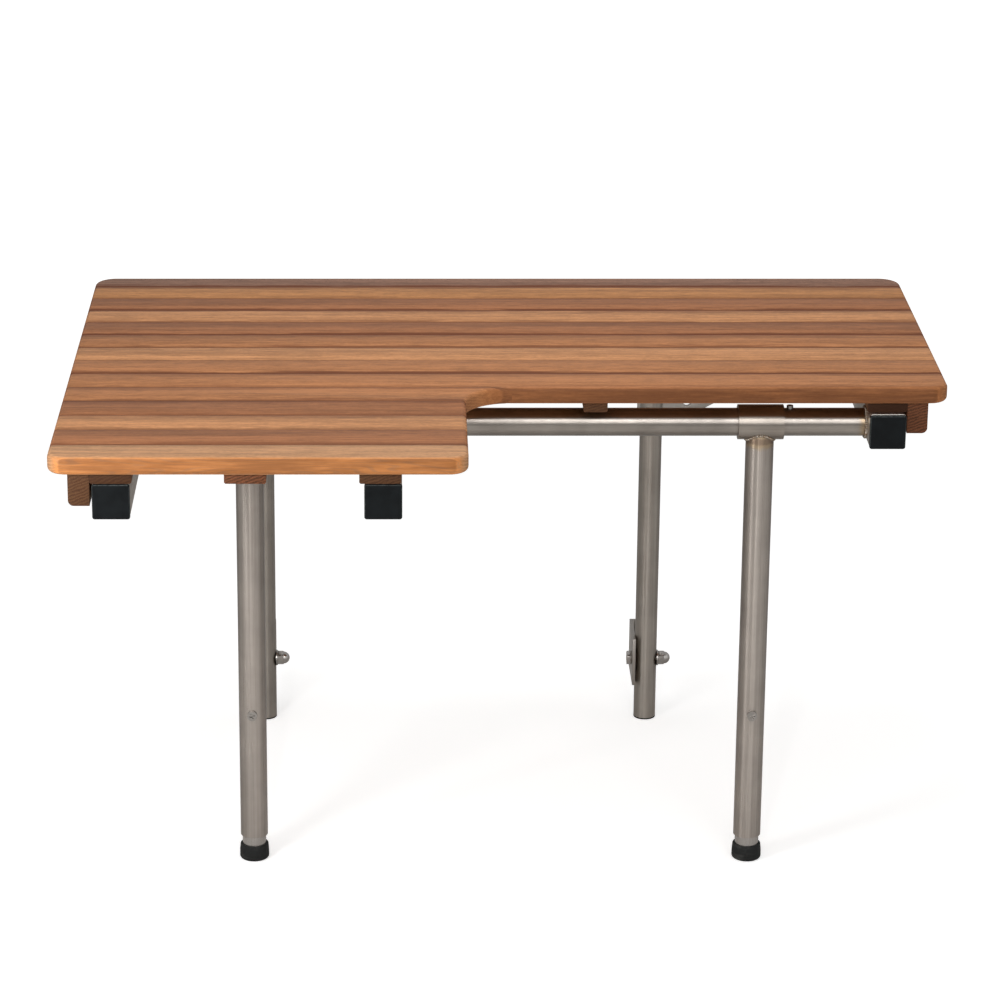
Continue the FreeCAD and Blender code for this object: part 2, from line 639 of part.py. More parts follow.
def make_crossbars():
    make_crossbar("front_crossbar", FRONT_BAR_Y)
    make_crossbar("rear_crossbar", HINGE_Y)
    welds = []
    for bar, bar_y in (("front", FRONT_BAR_Y), ("rear", HINGE_Y)):
        sides = (
            ("left", f"-{BAR_HALF_LENGTH}", RIGHT),
            ("middle_left", f"{MIDDLE_ARM_X} - arm_size / 2", LEFT),
            ("middle_right", f"{MIDDLE_ARM_X} + arm_size / 2", RIGHT),
            ("right", BAR_HALF_LENGTH, LEFT),
        )
        welds += [fillet_weld(f"{bar}_{side}_weld", x, bar_y, turn) for side, x, turn in sides]
    node(group("crossbar_welds", welds), "crossbar_welds")


def sleeve(label, x, y):
    """A short tube that turns on a crossbar."""
    return tube(label, "sleeve_diameter / 2", "bar_diameter / 2 + turn_clearance", "sleeve_length",
                f"{x} - sleeve_length / 2", y, BAR_AXIS, RIGHT)


def sleeve_saddle(name, x, y):
    """The room that a sleeve takes from the end of the tube welded under it."""
    return rod(f"{name}_saddle", "sleeve_diameter / 2", "sleeve_length", f"{x} - sleeve_length / 2",
               y, BAR_AXIS, RIGHT)


def make_leg(side, x):
    """A leg: sleeve, outer tube and the screw that locks the inner tube."""
    node(sleeve(f"{side}_leg_sleeve", x, FRONT_BAR_Y), f"{side}_leg_sleeve")
    low = f"({FLOOR} + leg_end_height)"
    outer = tube(f"{side}_leg_tube", "leg_diameter / 2", "leg_diameter / 2 - leg_wall",
                 f"{BAR_AXIS} - {low}", x, FRONT_BAR_Y, low)
    screw_z = f"({FLOOR} + lock_screw_height)"
    hole = rod(f"{side}_lock_hole", "lock_screw_diameter / 2 + screw_clearance",
               "leg_diameter / 2 + overshoot", x, FRONT_BAR_Y, screw_z, FRONT)
    drilled = cut(f"{side}_leg_tube_end", outer, sleeve_saddle(f"{side}_leg", x, FRONT_BAR_Y), hole)
    node(drilled, f"{side}_leg_tube")
    make_lock_screw(side, x, screw_z)


def make_lock_screw(side, x, z):
    """A screw in the front of a leg, with a neck that fills the room behind its flat head."""
    face_y = f"({FRONT_BAR_Y} - leg_diameter / 2)"
    shank = rod(f"{side}_lock_shank", "lock_screw_diameter / 2", "leg_wall", x, face_y, z, BACK)
    head = pan_head(f"{side}_lock_head", "lock_head_diameter", "lock_head_top", "lock_head_height",
                    x, face_y, z, FRONT)
    neck = rod(f"{side}_lock_neck", "lock_head_diameter / 2", "leg_diameter / 2", x, face_y, z, BACK)
    leg = rod(f"{side}_lock_leg", "leg_diameter / 2", "lock_head_diameter + 2 * overshoot", x, FRONT_BAR_Y,
              f"{z} - lock_head_diameter / 2 - overshoot")
    neck_end = cut(f"{side}_lock_neck_end", neck, leg)
    node(fuse(f"{side}_lock_screw", shank, head, neck_end), f"{side}_lock_screw")


def make_foot(side, x):
    """The inner tube that slides in a leg, with its rubber tip."""
    outer_radius = "(leg_diameter / 2 - leg_wall - slide_clearance)"
    inner = tube(f"{side}_foot_tube", outer_radius, f"{outer_radius} - foot_tube_wall",
                 "foot_tube_top - tip_floor", x, FRONT_BAR_Y, f"{FLOOR} + tip_floor")
    node(inner, f"{side}_foot_tube")
    body = new_body(f"{side}_tip_rubber")
    corners = (
        ("0", "0"),
        ("(tip_diameter / 2 - tip_bevel)", "0"),
        ("(tip_diameter / 2)", "tip_bevel"),
        ("(tip_diameter / 2 - tip_taper)", "tip_height"),
        (outer_radius, "tip_height"),
        (outer_radius, "tip_floor"),
        ("0", "tip_floor"),
    )
    revolve(body, outline(body, "XZ_Plane", corners))
    node(place(body, x, FRONT_BAR_Y, FLOOR), f"{side}_foot_tip")


def make_wall_plate(side, post_x):
    """A steel plate on the wall, its lower outer corner cut on a slant."""
    body = new_body(f"{side}_plate_steel")
    corners = (
        ("0", "0"),
        ("(plate_width - plate_cut_width)", "0"),
        ("plate_width", "plate_cut_height"),
        ("plate_width", "plate_height"),
        ("0", "plate_height"),
    )
    pad(body, outline(body, "XZ_Plane", corners), "plate_thickness")
    upper = size("plate_height")
    tops = edges_where(body.Shape, lambda p, run: abs(run.y) > TINY and abs(p.z - upper) < TINY)
    dress(body, "Fillet", tops, "plate_corner")
    place(body, f"{post_x} - post_diameter / 2", "0", "-plate_drop")
    holes = [rod(f"{side}_plate_{level}_hole", "bolt_hole_diameter / 2", "plate_thickness + 2 * overshoot",
                 f"{post_x} + bolt_offset", "overshoot", z, FRONT)
             for level, z in (("lower", "-bolt_rise / 2"), ("upper", "bolt_rise / 2"))]
    node(cut(f"{side}_plate", body, *holes), f"{side}_wall_plate")


def make_post(side, x):
    """A round tube from the rear sleeve down to the floor, drilled for its cross bolt."""
    low = f"({FLOOR} + post_plug_flange)"
    pipe = tube(f"{side}_post", "post_diameter / 2", "post_diameter / 2 - post_wall",
                f"{BAR_AXIS} - {low}", x, HINGE_Y, low)
    bolt_hole = rod(f"{side}_post_bolt_hole", "cross_bolt_diameter / 2 + screw_clearance",
                    "post_diameter + 2 * overshoot", f"{x} - post_diameter / 2 - overshoot", HINGE_Y,
                    f"{FLOOR} + cross_bolt_height", RIGHT)
    post = cut(f"{side}_post_end", pipe, sleeve_saddle(f"{side}_post", x, HINGE_Y), bolt_hole)
    node(post, f"{side}_post")
    node(sleeve(f"{side}_hinge_sleeve", x, HINGE_Y), f"{side}_hinge_sleeve")


def make_gusset(side, x):
    """A flat web welded between the wall plate and the back of a post."""
    low = "(gusset_rise - plate_drop)"
    web = box(f"{side}_web", "gusset_thickness", "hinge_to_wall - plate_thickness", "gusset_height",
              f"{x} - gusset_thickness / 2", HINGE_Y, low)
    post = rod(f"{side}_web_room", "post_diameter / 2", "gusset_height", x, HINGE_Y, low)
    return cut(f"{side}_gusset", web, post)


def make_bracket(side, x):
    """An angle bracket behind the foot of a post, with one ear beside the post."""
    body = new_body(f"{side}_bracket_steel")
    reach = "(-hinge_to_wall - bracket_margin)"
    corners = (
        ("0", "0"),
        ("0", reach),
        ("bracket_thickness", reach),
        ("bracket_thickness", "(-bracket_thickness)"),
        ("bracket_width", "(-bracket_thickness)"),
        ("bracket_width", "0"),
    )
    pad(body, outline(body, "XY_Plane", corners), "bracket_height")
    wall = size("bracket_thickness")
    inner = edges_where(
        body.Shape, lambda p, run: abs(run.z) > TINY and abs(p.x - wall) < TINY and abs(p.y + wall) < TINY)
    dress(body, "Fillet", inner, "bracket_bend")
    left = f"({x} - post_diameter / 2 - bracket_thickness)"
    height = f"({FLOOR} + cross_bolt_height)"
    place(body, left, "0", f"{height} - bracket_height / 2")
    ear_hole = rod(f"{side}_ear_hole", "cross_bolt_diameter / 2 + screw_clearance",
                   "bracket_thickness + 2 * overshoot", f"{left} - overshoot", HINGE_Y, height, RIGHT)
    wall_hole = rod(f"{side}_bracket_hole", "bracket_hole_diameter / 2",
                    "bracket_thickness + 2 * overshoot", x, "overshoot", height, FRONT)
    node(cut(f"{side}_bracket", body, ear_hole, wall_hole), f"{side}_post_bracket")


def hexagon(name, thickness, x, y, z, turn):
    item = doc.addObject("Part::Prism", name)
    item.Polygon = 6
    bind(item, Circumradius="cross_bolt_flats / sqrt(3)", Height=thickness)
    return place(item, x, y, z, turn)


def make_cross_bolt(side, x):
    """A bolt through bracket and post: its head on the ear, washer and domed nut on the right."""
    z = f"({FLOOR} + cross_bolt_height)"
    ear = f"({x} - post_diameter / 2 - bracket_thickness)"
    post_side = f"({x} + post_diameter / 2)"
    washer_side = f"({post_side} + washer_thickness)"
    shank = rod(f"{side}_bolt_shank", "cross_bolt_diameter / 2",
                "post_diameter + bracket_thickness + washer_thickness", ear, HINGE_Y, z, RIGHT)
    head = hexagon(f"{side}_bolt_head", "cross_bolt_head", ear, HINGE_Y, z, LEFT)
    bolt = fuse(f"{side}_cross_bolt", shank, head)
    washer = tube(f"{side}_washer", "washer_diameter / 2", "cross_bolt_diameter / 2 + screw_clearance",
                  "washer_thickness", post_side, HINGE_Y, z, RIGHT)
    nut = hexagon(f"{side}_nut", "nut_thickness", washer_side, HINGE_Y, z, RIGHT)
    ball = doc.addObject("Part::Sphere", f"{side}_nut_ball")
    bind(ball, Radius="nut_dome_radius")
    place(ball, f"{washer_side} + nut_thickness", HINGE_Y, z)
    room = rod(f"{side}_nut_room", "nut_dome_radius", "nut_dome_radius", f"{washer_side} + nut_thickness",
               HINGE_Y, z, LEFT)
    dome = cut(f"{side}_nut_dome", ball, room)
    return bolt, washer, fuse(f"{side}_domed_nut", nut, dome)


def make_post_plug(side, x):
    """A black plastic plug under a post."""
    body = new_body(f"{side}_post_plug")
    bore = "(post_diameter / 2 - post_wall - plug_clearance)"
    corners = (
        ("0", "0"),
        ("(post_diameter / 2)", "0"),
        ("(post_diameter / 2)", "post_plug_flange"),
        (bore, "post_plug_flange"),
        (bore, "post_plug_depth"),
        ("0", "post_plug_depth"),
    )
    revolve(body, outline(body, "XZ_Plane", corners))
    return place(body, x, HINGE_Y, FLOOR)


def make_wall_frame():
    sides = (("left", LEFT_POST_X), ("right", RIGHT_POST_X))
    for side, x in sides:
        make_wall_plate(side, x)
        make_post(side, x)
        make_bracket(side, x)
    bolts, washers, nuts = zip(*(make_cross_bolt(side, x) for side, x in sides))
    node(group("post_gussets", [make_gusset(side, x) for side, x in sides]), "post_gussets")
    node(group("post_plugs", [make_post_plug(side, x) for side, x in sides]), "post_plugs")
    node(group("post_bolts", bolts), "post_bolts")
    node(group("post_washers", washers), "post_washers")
    node(group("post_nuts", nuts), "post_nuts")


def check_and_export():
    """Stop on any failed object or bad shape, then write one file per sub-part."""
    doc.recompute()
    failed = [item.Label for item in doc.Objects if "Invalid" in item.State or "Error" in item.State]
    bad = [item.Label for item in nodes if item.Shape.isNull() or not item.Shape.isValid()]
    if failed or bad:
        raise RuntimeError(f"failed objects: {failed}, bad shapes: {bad}")
    os.makedirs("parts", exist_ok=True)
    for item in nodes:
        item.Shape.exportStep(f"parts/{item.Label}.step")
        print(f"{item.Label}: {len(item.Shape.Solids)} solid(s), {item.Shape.Volume:.0f} mm3")
    print(f"{len(nodes)} sub-parts")


make_slats()
make_battens()
make_cleat("left_cleat", -1, DEEP_EDGE)
make_cleat("right_cleat", 1, SHALLOW_EDGE)
make_arms()
make_crossbars()
make_keeper_screws()
make_wood_screws()
for leg_side, leg_x in (("left", LEFT_LEG_X), ("right", RIGHT_LEG_X)):
    make_leg(leg_side, leg_x)
    make_foot(leg_side, leg_x)
make_wall_frame()
check_and_export()
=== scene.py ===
import math

import bmesh
import bpy
from mathutils import Matrix, Vector


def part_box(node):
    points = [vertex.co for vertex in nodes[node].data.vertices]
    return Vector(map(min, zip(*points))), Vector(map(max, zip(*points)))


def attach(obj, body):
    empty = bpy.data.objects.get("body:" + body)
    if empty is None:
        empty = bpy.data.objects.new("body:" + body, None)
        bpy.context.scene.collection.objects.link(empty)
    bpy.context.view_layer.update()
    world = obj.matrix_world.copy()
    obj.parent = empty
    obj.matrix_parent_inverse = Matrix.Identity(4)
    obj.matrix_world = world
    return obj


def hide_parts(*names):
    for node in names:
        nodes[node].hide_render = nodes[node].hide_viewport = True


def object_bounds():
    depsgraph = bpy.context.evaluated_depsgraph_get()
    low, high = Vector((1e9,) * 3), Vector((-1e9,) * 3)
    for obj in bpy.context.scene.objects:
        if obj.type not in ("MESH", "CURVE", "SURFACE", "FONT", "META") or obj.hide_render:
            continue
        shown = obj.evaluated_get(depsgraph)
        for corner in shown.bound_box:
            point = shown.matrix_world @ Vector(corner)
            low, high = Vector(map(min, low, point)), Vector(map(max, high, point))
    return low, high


# A fold-down wall seat: oiled wooden slats on a stainless steel frame. The steel
# and wood keep the shapes of the loaded frame. This file eases their edges, adds
# welds, screws and rubber, and gives every surface its finish.

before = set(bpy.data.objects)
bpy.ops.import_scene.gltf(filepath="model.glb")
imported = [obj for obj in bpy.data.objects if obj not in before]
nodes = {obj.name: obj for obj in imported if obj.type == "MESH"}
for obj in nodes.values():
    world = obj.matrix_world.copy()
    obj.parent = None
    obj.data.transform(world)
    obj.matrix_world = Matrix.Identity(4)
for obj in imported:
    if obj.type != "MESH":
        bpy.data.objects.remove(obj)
cad_low, cad_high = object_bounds()
MM = 0.001


# Wall plates, webs and lower brackets. They are cut from stainless steel sheet,
# brushed up and down, and hang on the wall by two screws each. The webs stand
# between plate and post, and the brackets are bent to hold the posts' feet.

def chart(red, green, blue):
    """A colour by its 0 to 255 numbers on a screen, as the shaders want it."""
    parts = (part / 255 for part in (red, green, blue))
    return tuple(((part + 0.055) / 1.055) ** 2.4 for part in parts) + (1.0,)


def put(tree, kind, feeds=(), **settings):
    """Add a node, set its options, and feed its inputs with values or with other outputs."""
    made = tree.nodes.new(kind)
    for key, value in settings.items():
        setattr(made, key, value)
    for key, value in dict(feeds).items():
        if isinstance(value, bpy.types.NodeSocket):
            tree.links.new(value, made.inputs[key])
        else:
            made.inputs[key].default_value = value
    return made


def calc(tree, operation, *numbers):
    return put(tree, "ShaderNodeMath", enumerate(numbers), operation=operation).outputs[0]


def vector(tree, operation, *vectors):
    return put(tree, "ShaderNodeVectorMath", enumerate(vectors), operation=operation).outputs[0]


def spread(tree, place, stretch, detail=2.0, roughness=0.5):
    """Noise between 0 and 1 whose grains are drawn out along the directions with small numbers."""
    scaled = vector(tree, "MULTIPLY", place, stretch)
    feeds = {"Vector": scaled, "Scale": 1.0, "Detail": detail, "Roughness": roughness}
    return put(tree, "ShaderNodeTexNoise", feeds).outputs[0]


def ease(tree, value, low, high, first=0.0, last=1.0):
    """A smooth step from the first number to the last between two limits."""
    feeds = {"Value": value, "From Min": low, "From Max": high, "To Min": first, "To Max": last}
    return put(tree, "ShaderNodeMapRange", feeds, interpolation_type="SMOOTHSTEP").outputs[0]


def stain(tree, amount, first, second):
    """Two colours mixed by an amount."""
    return put(tree, "ShaderNodeMix", {0: amount, 6: first, 7: second}, data_type="RGBA",
               clamp_factor=True).outputs[2]


def new_group(name, kind, takes, gives):
    """An empty node group, with what it is given and the sockets that it gives back."""
    tree = bpy.data.node_groups.new(name, kind)
    for label, sort, value in takes:
        socket = tree.interface.new_socket(label, in_out="INPUT", socket_type=f"NodeSocket{sort}")
        if value is not None:
            socket.default_value = value
    for label, sort in gives:
        tree.interface.new_socket(label, in_out="OUTPUT", socket_type=f"NodeSocket{sort}")
    given = tree.nodes.new("NodeGroupInput").outputs
    back = tree.nodes.new("NodeGroupOutput").inputs
    return tree, given, back


def send(tree, back, **results):
    """Join the results of a group to its outputs."""
    for label, socket in results.items():
        tree.links.new(socket, back[label])


SURFACE = (("Color", "Color"), ("Roughness", "Float"), ("Height", "Float"))


def make_brushed_steel():
    """Stainless steel with fine scratches along X, faint clouds and a few deeper scratches."""
    tree, given, back = new_group("brushed_steel", "ShaderNodeTree", (
        ("Position", "Vector", (0, 0, 0)),
        ("Tone", "Color", chart(150, 142, 134)),
        ("Shine", "Float", 0.3),
        ("Streaks", "Float", 0.5),
        ("Clouds", "Float", 0.5),
    ), SURFACE)
    place = given["Position"]
    scratches = spread(tree, place, (25, 2600, 2600), 2.0)
    streaks = spread(tree, place, (3, 420, 420), 3.0)
    clouds = spread(tree, place, (22, 22, 22), 3.0, 0.6)
    lines = calc(tree, "MULTIPLY", calc(tree, "SUBTRACT", streaks, 0.5), given["Streaks"])
    fog = calc(tree, "MULTIPLY", calc(tree, "SUBTRACT", clouds, 0.5), given["Clouds"])
    light = calc(tree, "ADD", calc(tree, "ADD", lines, fog), 1.0)
    fine = calc(tree, "MULTIPLY_ADD", calc(tree, "SUBTRACT", scratches, 0.5), 0.35, light)
    colour = put(tree, "ShaderNodeMix", {0: 1.0, 6: given["Tone"], 7: fine}, data_type="RGBA",
                 blend_type="MULTIPLY").outputs[2]
    rough = calc(tree, "MULTIPLY_ADD", fog, -0.35, given["Shine"])
    rough = calc(tree, "MULTIPLY_ADD", calc(tree, "SUBTRACT", scratches, 0.5), 0.12, rough)
    send(tree, back, Color=colour, Roughness=rough, Height=calc(tree, "ADD", scratches, streaks))
    return tree


BRUSHED_STEEL = make_brushed_steel()

# Turns that lay a piece's own grain or brushing onto the X direction of a pattern.
TURN = {"X": (0, 0, 0), "Y": (0, 0, -math.pi / 2), "Z": (0, math.pi / 2, 0)}


def laid(tree, output, direction):
    """Object coordinates or normals of a piece, turned so that its grain runs along X."""
    source = tree.nodes.new("ShaderNodeTexCoord").outputs[output]
    feeds = {"Vector": source, "Rotation": TURN[direction]}
    return put(tree, "ShaderNodeMapping", feeds).outputs[0]


def new_material(name, fixed):
    """A material with constants set on its shader, its tree and the shader."""
    material = bpy.data.materials.new(name)
    material.use_nodes = True
    shader = material.node_tree.nodes["Principled BSDF"]
    for label, value in fixed.items():
        shader.inputs[label].default_value = value
    return material, material.node_tree, shader


def fed_group(tree, group, feeds):
    return put(tree, "ShaderNodeGroup", feeds, node_tree=group)


def bump(tree, shader, height, strength, depth):
    made = put(tree, "ShaderNodeBump", {"Strength": strength, "Distance": depth, "Height": height})
    tree.links.new(made.outputs[0], shader.inputs["Normal"])


def make_steel(name, direction, tone, shine=0.3, streaks=0.5, clouds=0.5, around=None, tint=None):
    """Brushed stainless steel. Round tubes are brushed around their axis, so light runs along them."""
    material, tree, shader = new_material(name, {"Metallic": 1.0})
    steel = fed_group(tree, BRUSHED_STEEL, {
        "Position": laid(tree, "Object", direction), "Tone": tone, "Shine": shine,
        "Streaks": streaks, "Clouds": clouds})
    colour = tint(tree, steel.outputs["Color"]) if tint else steel.outputs["Color"]
    tree.links.new(colour, shader.inputs["Base Color"])
    tree.links.new(steel.outputs["Roughness"], shader.inputs["Roughness"])
    bump(tree, shader, steel.outputs["Height"], 0.25, 0.05 * MM)
    if around:
        shader.inputs["Anisotropic"].default_value = 0.9
        shader.inputs["Anisotropic Rotation"].default_value = 0.25
        tangent = put(tree, "ShaderNodeTangent", direction_type="RADIAL", axis=around)
        tree.links.new(tangent.outputs[0], shader.inputs["Tangent"])
    return material


ONE_POINT = 0.001 * MM
NEARLY_FLAT = math.radians(0.4)
SOFT_EDGE = math.radians(32)


def merged_copy(node):
    """The mesh of a piece of the frame as one closed skin."""
    shape = bmesh.new()
    shape.from_mesh(nodes[node].data)
    bmesh.ops.remove_doubles(shape, verts=shape.verts, dist=ONE_POINT)
    return shape


def finish_piece(name, mesh, material, body, replaced=()):
    """Put a mesh into the scene as a piece of the object."""
    piece = bpy.data.objects.new(name, mesh)
    bpy.context.scene.collection.objects.link(piece)
    mesh.materials.clear()
    mesh.materials.append(material)
    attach(piece, body)
    if replaced:
        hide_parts(*replaced)


def eased_piece(node, material, body, width, turn=math.radians(40)):
    """A piece of the frame with its sharp edges broken by a small round."""
    shape = merged_copy(node)
    bmesh.ops.dissolve_limit(shape, angle_limit=NEARLY_FLAT, verts=shape.verts, edges=shape.edges)
    sharp = [edge for edge in shape.edges if edge.is_manifold and edge.calc_face_angle(0) > turn]
    bmesh.ops.bevel(shape, geom=sharp, offset=width, offset_type="OFFSET", segments=2, profile=0.5,
                    affect="EDGES", clamp_overlap=True)
    bmesh.ops.recalc_face_normals(shape, faces=shape.faces)
    mesh = bpy.data.meshes.new(f"{node}_eased")
    shape.to_mesh(mesh)
    shape.free()
    for face in mesh.polygons:
        face.use_smooth = True
    mesh.set_sharp_from_angle(angle=SOFT_EDGE)
    finish_piece(f"{node}_eased", mesh, material, body, (node,))


PLATE_TONE = chart(168, 163, 157)
plate_steel = make_steel("plate_steel", "Z", PLATE_TONE, shine=0.36, streaks=0.35)
for side in ("left", "right"):
    eased_piece(f"{side}_wall_plate", plate_steel, "wall_frame", 0.4 * MM)
    eased_piece(f"{side}_post_bracket", plate_steel, "wall_frame", 0.3 * MM)
eased_piece("post_gussets", plate_steel, "wall_frame", 0.3 * MM)


# Posts and hinge sleeves. Two round tubes stand on the floor behind the seat. A
# short sleeve is welded across each top, and the rear crossbar turns in it. The
# heat of welding leaves a bronze tint on the steel beside each bead.

def make_heat_tint():
    """Straw and bronze on steel near a weld, by the distance from the bead."""
    tree, given, back = new_group("heat_tint", "ShaderNodeTree", (
        ("Color", "Color", chart(150, 142, 134)),
        ("Distance", "Float", 1.0),
        ("Position", "Vector", (0, 0, 0)),
    ), (("Color", "Color"),))
    wander = spread(tree, given["Position"], (160, 160, 160), 2.0)
    distance = calc(tree, "MULTIPLY_ADD", calc(tree, "SUBTRACT", wander, 0.5), 5 * MM, given["Distance"])
    straw = ease(tree, distance, 9 * MM, 3.5 * MM, 0.0, 0.55)
    bronze = ease(tree, distance, 4 * MM, 1.5 * MM, 0.0, 0.5)
    tinted = stain(tree, straw, given["Color"], chart(168, 140, 98))
    send(tree, back, Color=stain(tree, bronze, tinted, chart(104, 84, 78)))
    return tree


HEAT_TINT = make_heat_tint()


def tint_from(axis, *places):
    """A tint around planes at the given places along one axis."""
    def tint(tree, colour):
        position = tree.nodes.new("ShaderNodeTexCoord").outputs["Object"]
        along = put(tree, "ShaderNodeSeparateXYZ", {0: position}).outputs[axis]
        away = [calc(tree, "ABSOLUTE", calc(tree, "SUBTRACT", along, place)) for place in places]
        nearest = away[0]
        for other in away[1:]:
            nearest = calc(tree, "MINIMUM", nearest, other)
        return fed_group(tree, HEAT_TINT, {"Color": colour, "Distance": nearest,
                                           "Position": position}).outputs[0]
    return tint


hinge_low, hinge_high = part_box("left_hinge_sleeve")
BAR_Z = (hinge_low.z + hinge_high.z) / 2
HINGE_Y = (hinge_low.y + hinge_high.y) / 2
SLEEVE_RADIUS = (hinge_high.z - hinge_low.z) / 2
POST_TONE = chart(160, 153, 145)
SLEEVE_TONE = chart(150, 142, 134)


def wear(node, material):
    """Give a piece of the frame that keeps its own mesh its finish."""
    nodes[node].data.materials.clear()
    nodes[node].data.materials.append(material)


post_steel = make_steel("post_steel", "Z", POST_TONE, shine=0.38, around="Z",
                        tint=tint_from("Z", BAR_Z - SLEEVE_RADIUS))
sleeve_steel = make_steel("sleeve_steel", "X", SLEEVE_TONE, shine=0.36, streaks=0.4, around="X")
for side in ("left", "right"):
    wear(f"{side}_post", post_steel)
    wear(f"{side}_hinge_sleeve", sleeve_steel)


# Weld beads. Every joint of the frame is a fillet laid by hand: a row of small
# overlapping drops that follow the joint. They run round the crossbars, over
# the saddles of legs and posts, and along the webs.

def make_weld_tree():
    """Drops of weld set side by side along each path that is given as edges."""
    tree, given, back = new_group("weld_drops", "GeometryNodeTree", (
        ("Paths", "Geometry", None),
        ("Pitch", "Float", 2 * MM),
        ("Drop Size", "Float", 2 * MM),
        ("Flatness", "Float", 0.6),
        ("Seed", "Int", 1),
        ("Material", "Material", None),
    ), (("Drops", "Geometry"),))
    curve = put(tree, "GeometryNodeMeshToCurve", {"Mesh": given["Paths"]}).outputs[0]
    row = put(tree, "GeometryNodeResampleCurve", {"Curve": curve, "Length": given["Pitch"]}, mode="LENGTH")
    ball = {"Radius": given["Drop Size"], "Subdivisions": 2}
    drop = put(tree, "GeometryNodeMeshIcoSphere", ball).outputs[0]
    tangent = tree.nodes.new("GeometryNodeInputTangent").outputs[0]
    turn = put(tree, "FunctionNodeAlignRotationToVector", {"Vector": tangent}, axis="X").outputs[0]
    spread_of_sizes = {2: 0.88, 3: 1.12, "Seed": given["Seed"]}
    size = put(tree, "FunctionNodeRandomValue", spread_of_sizes, data_type="FLOAT")
    flat = put(tree, "ShaderNodeCombineXYZ", {0: given["Flatness"], 1: 1.0, 2: 1.0}).outputs[0]
    scaled = put(tree, "ShaderNodeVectorMath", {0: flat, "Scale": size.outputs[1]}, operation="SCALE")
    drops = put(tree, "GeometryNodeInstanceOnPoints", {
        "Points": row.outputs[0], "Instance": drop, "Rotation": turn,
        "Scale": scaled.outputs[0]}).outputs[0]
    real = put(tree, "GeometryNodeRealizeInstances", {"Geometry": drops}).outputs[0]
    smooth = put(tree, "GeometryNodeSetShadeSmooth", {0: real}).outputs[0]
    dressed = put(tree, "GeometryNodeSetMaterial", {"Geometry": smooth, "Material": given["Material"]})
    send(tree, back, Drops=dressed.outputs[0])
    return tree


WELD_DROPS = make_weld_tree()


def grow(name, seed_mesh, tree, values):
    """The plain mesh that a geometry tree makes from a seed mesh."""
    seed = bpy.data.objects.new(name, seed_mesh)
    bpy.context.scene.collection.objects.link(seed)
    modifier = seed.modifiers.new("grow", "NODES")
    modifier.node_group = tree
    for item in tree.interface.items_tree:
        if item.in_out == "INPUT" and item.name in values:
            modifier[item.identifier] = values[item.name]
    shown = seed.evaluated_get(bpy.context.evaluated_depsgraph_get())
    mesh = bpy.data.meshes.new_from_object(shown)
    seed.modifiers.remove(modifier)
    bpy.data.objects.remove(seed)
    mesh.name = name
    return mesh


def path_mesh(paths):
    """Edges along each list of points, closed where the flag says so."""
    points, edges = [], []
    for route, closed in paths:
        start = len(points)
        points += route
        edges += [(start + step, start + step + 1) for step in range(len(route) - 1)]
        if closed:
            edges.append((len(points) - 1, start))
    mesh = bpy.data.meshes.new("paths")
    mesh.from_pydata(points, edges, [])
    return mesh


CIRCLE_STEPS = 72
turns = [2 * math.pi * step / CIRCLE_STEPS for step in range(CIRCLE_STEPS)]


def ring_round_bar(x, bar_y, radius):
    return [(x, bar_y + radius * math.cos(turn), BAR_Z + radius * math.sin(turn)) for turn in turns], True


def saddle_path(x, y, radius):
    """Where an upright tube meets the underside of a sleeve."""
    route = []
    for turn in turns:
        across = radius * math.sin(turn)
        drop = math.sqrt(max(SLEEVE_RADIUS ** 2 - across ** 2, 0))
        route.append((x + radius * math.cos(turn), y + across, BAR_Z - drop - 0.3 * MM))
    return route, True


def make_weld_metal():
    material, tree, shader = new_material("weld_metal", {"Metallic": 1.0})
    place = tree.nodes.new("ShaderNodeTexCoord").outputs["Object"]
    cloud = spread(tree, place, (500, 500, 500), 3.0)
    colour = stain(tree, ease(tree, cloud, 0.35, 0.7), chart(164, 156, 146), chart(126, 104, 82))
    tree.links.new(colour, shader.inputs["Base Color"])
    tree.links.new(ease(tree, cloud, 0.3, 0.7, 0.28, 0.46), shader.inputs["Roughness"])
    bump(tree, shader, cloud, 0.3, 0.2 * MM)
    return material


weld_metal = make_weld_metal()


def weld_piece(name, paths, body, pitch=1.9 * MM, size=1.6 * MM, replaced=()):
    mesh = grow(name, path_mesh(paths), WELD_DROPS, {
        "Pitch": pitch, "Drop Size": size, "Flatness": 0.85, "Seed": len(name), "Material": weld_metal})
    return finish_piece(name, mesh, weld_metal, body, replaced)


def solid_boxes(node):
    """The low and high corner of each separate solid that a node holds."""
    shape = merged_copy(node)
    unseen, boxes = set(shape.verts), []
    while unseen:
        to_follow, island = [unseen.pop()], []
        while to_follow:
            vert = to_follow.pop()
            island.append(vert.co.copy())
            for edge in vert.link_edges:
                other = edge.other_vert(vert)
                if other in unseen:
                    unseen.remove(other)
                    to_follow.append(other)
        corners = [[pick(point[axis] for point in island) for axis in range(3)] for pick in (min, max)]
        boxes.append((Vector(corners[0]), Vector(corners[1])))
    shape.free()
    return sorted(boxes, key=lambda box: tuple(box[0]))


BEAD_OFF_TUBE = 0.3 * MM
BEAD_OFF_WEB = 0.5 * MM
BEAD_OFF_PLATE = 0.6 * MM
BEAD_OFF_POST = 0.8 * MM
BEAD_SHORT = 2 * MM
wall_paths = []
for side in ("left", "right"):
    low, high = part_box(f"{side}_post")
    wall_paths.append(saddle_path((low.x + high.x) / 2, HINGE_Y, (high.x - low.x) / 2 + BEAD_OFF_TUBE))
for low, high in solid_boxes("post_gussets"):
    for x in (low.x - BEAD_OFF_WEB, high.x + BEAD_OFF_WEB):
        for y in (high.y - BEAD_OFF_PLATE, low.y + BEAD_OFF_POST):
            wall_paths.append(([(x, y, low.z + BEAD_SHORT), (x, y, high.z - BEAD_SHORT)], False))
weld_piece("wall_frame_welds", wall_paths, "wall_frame")


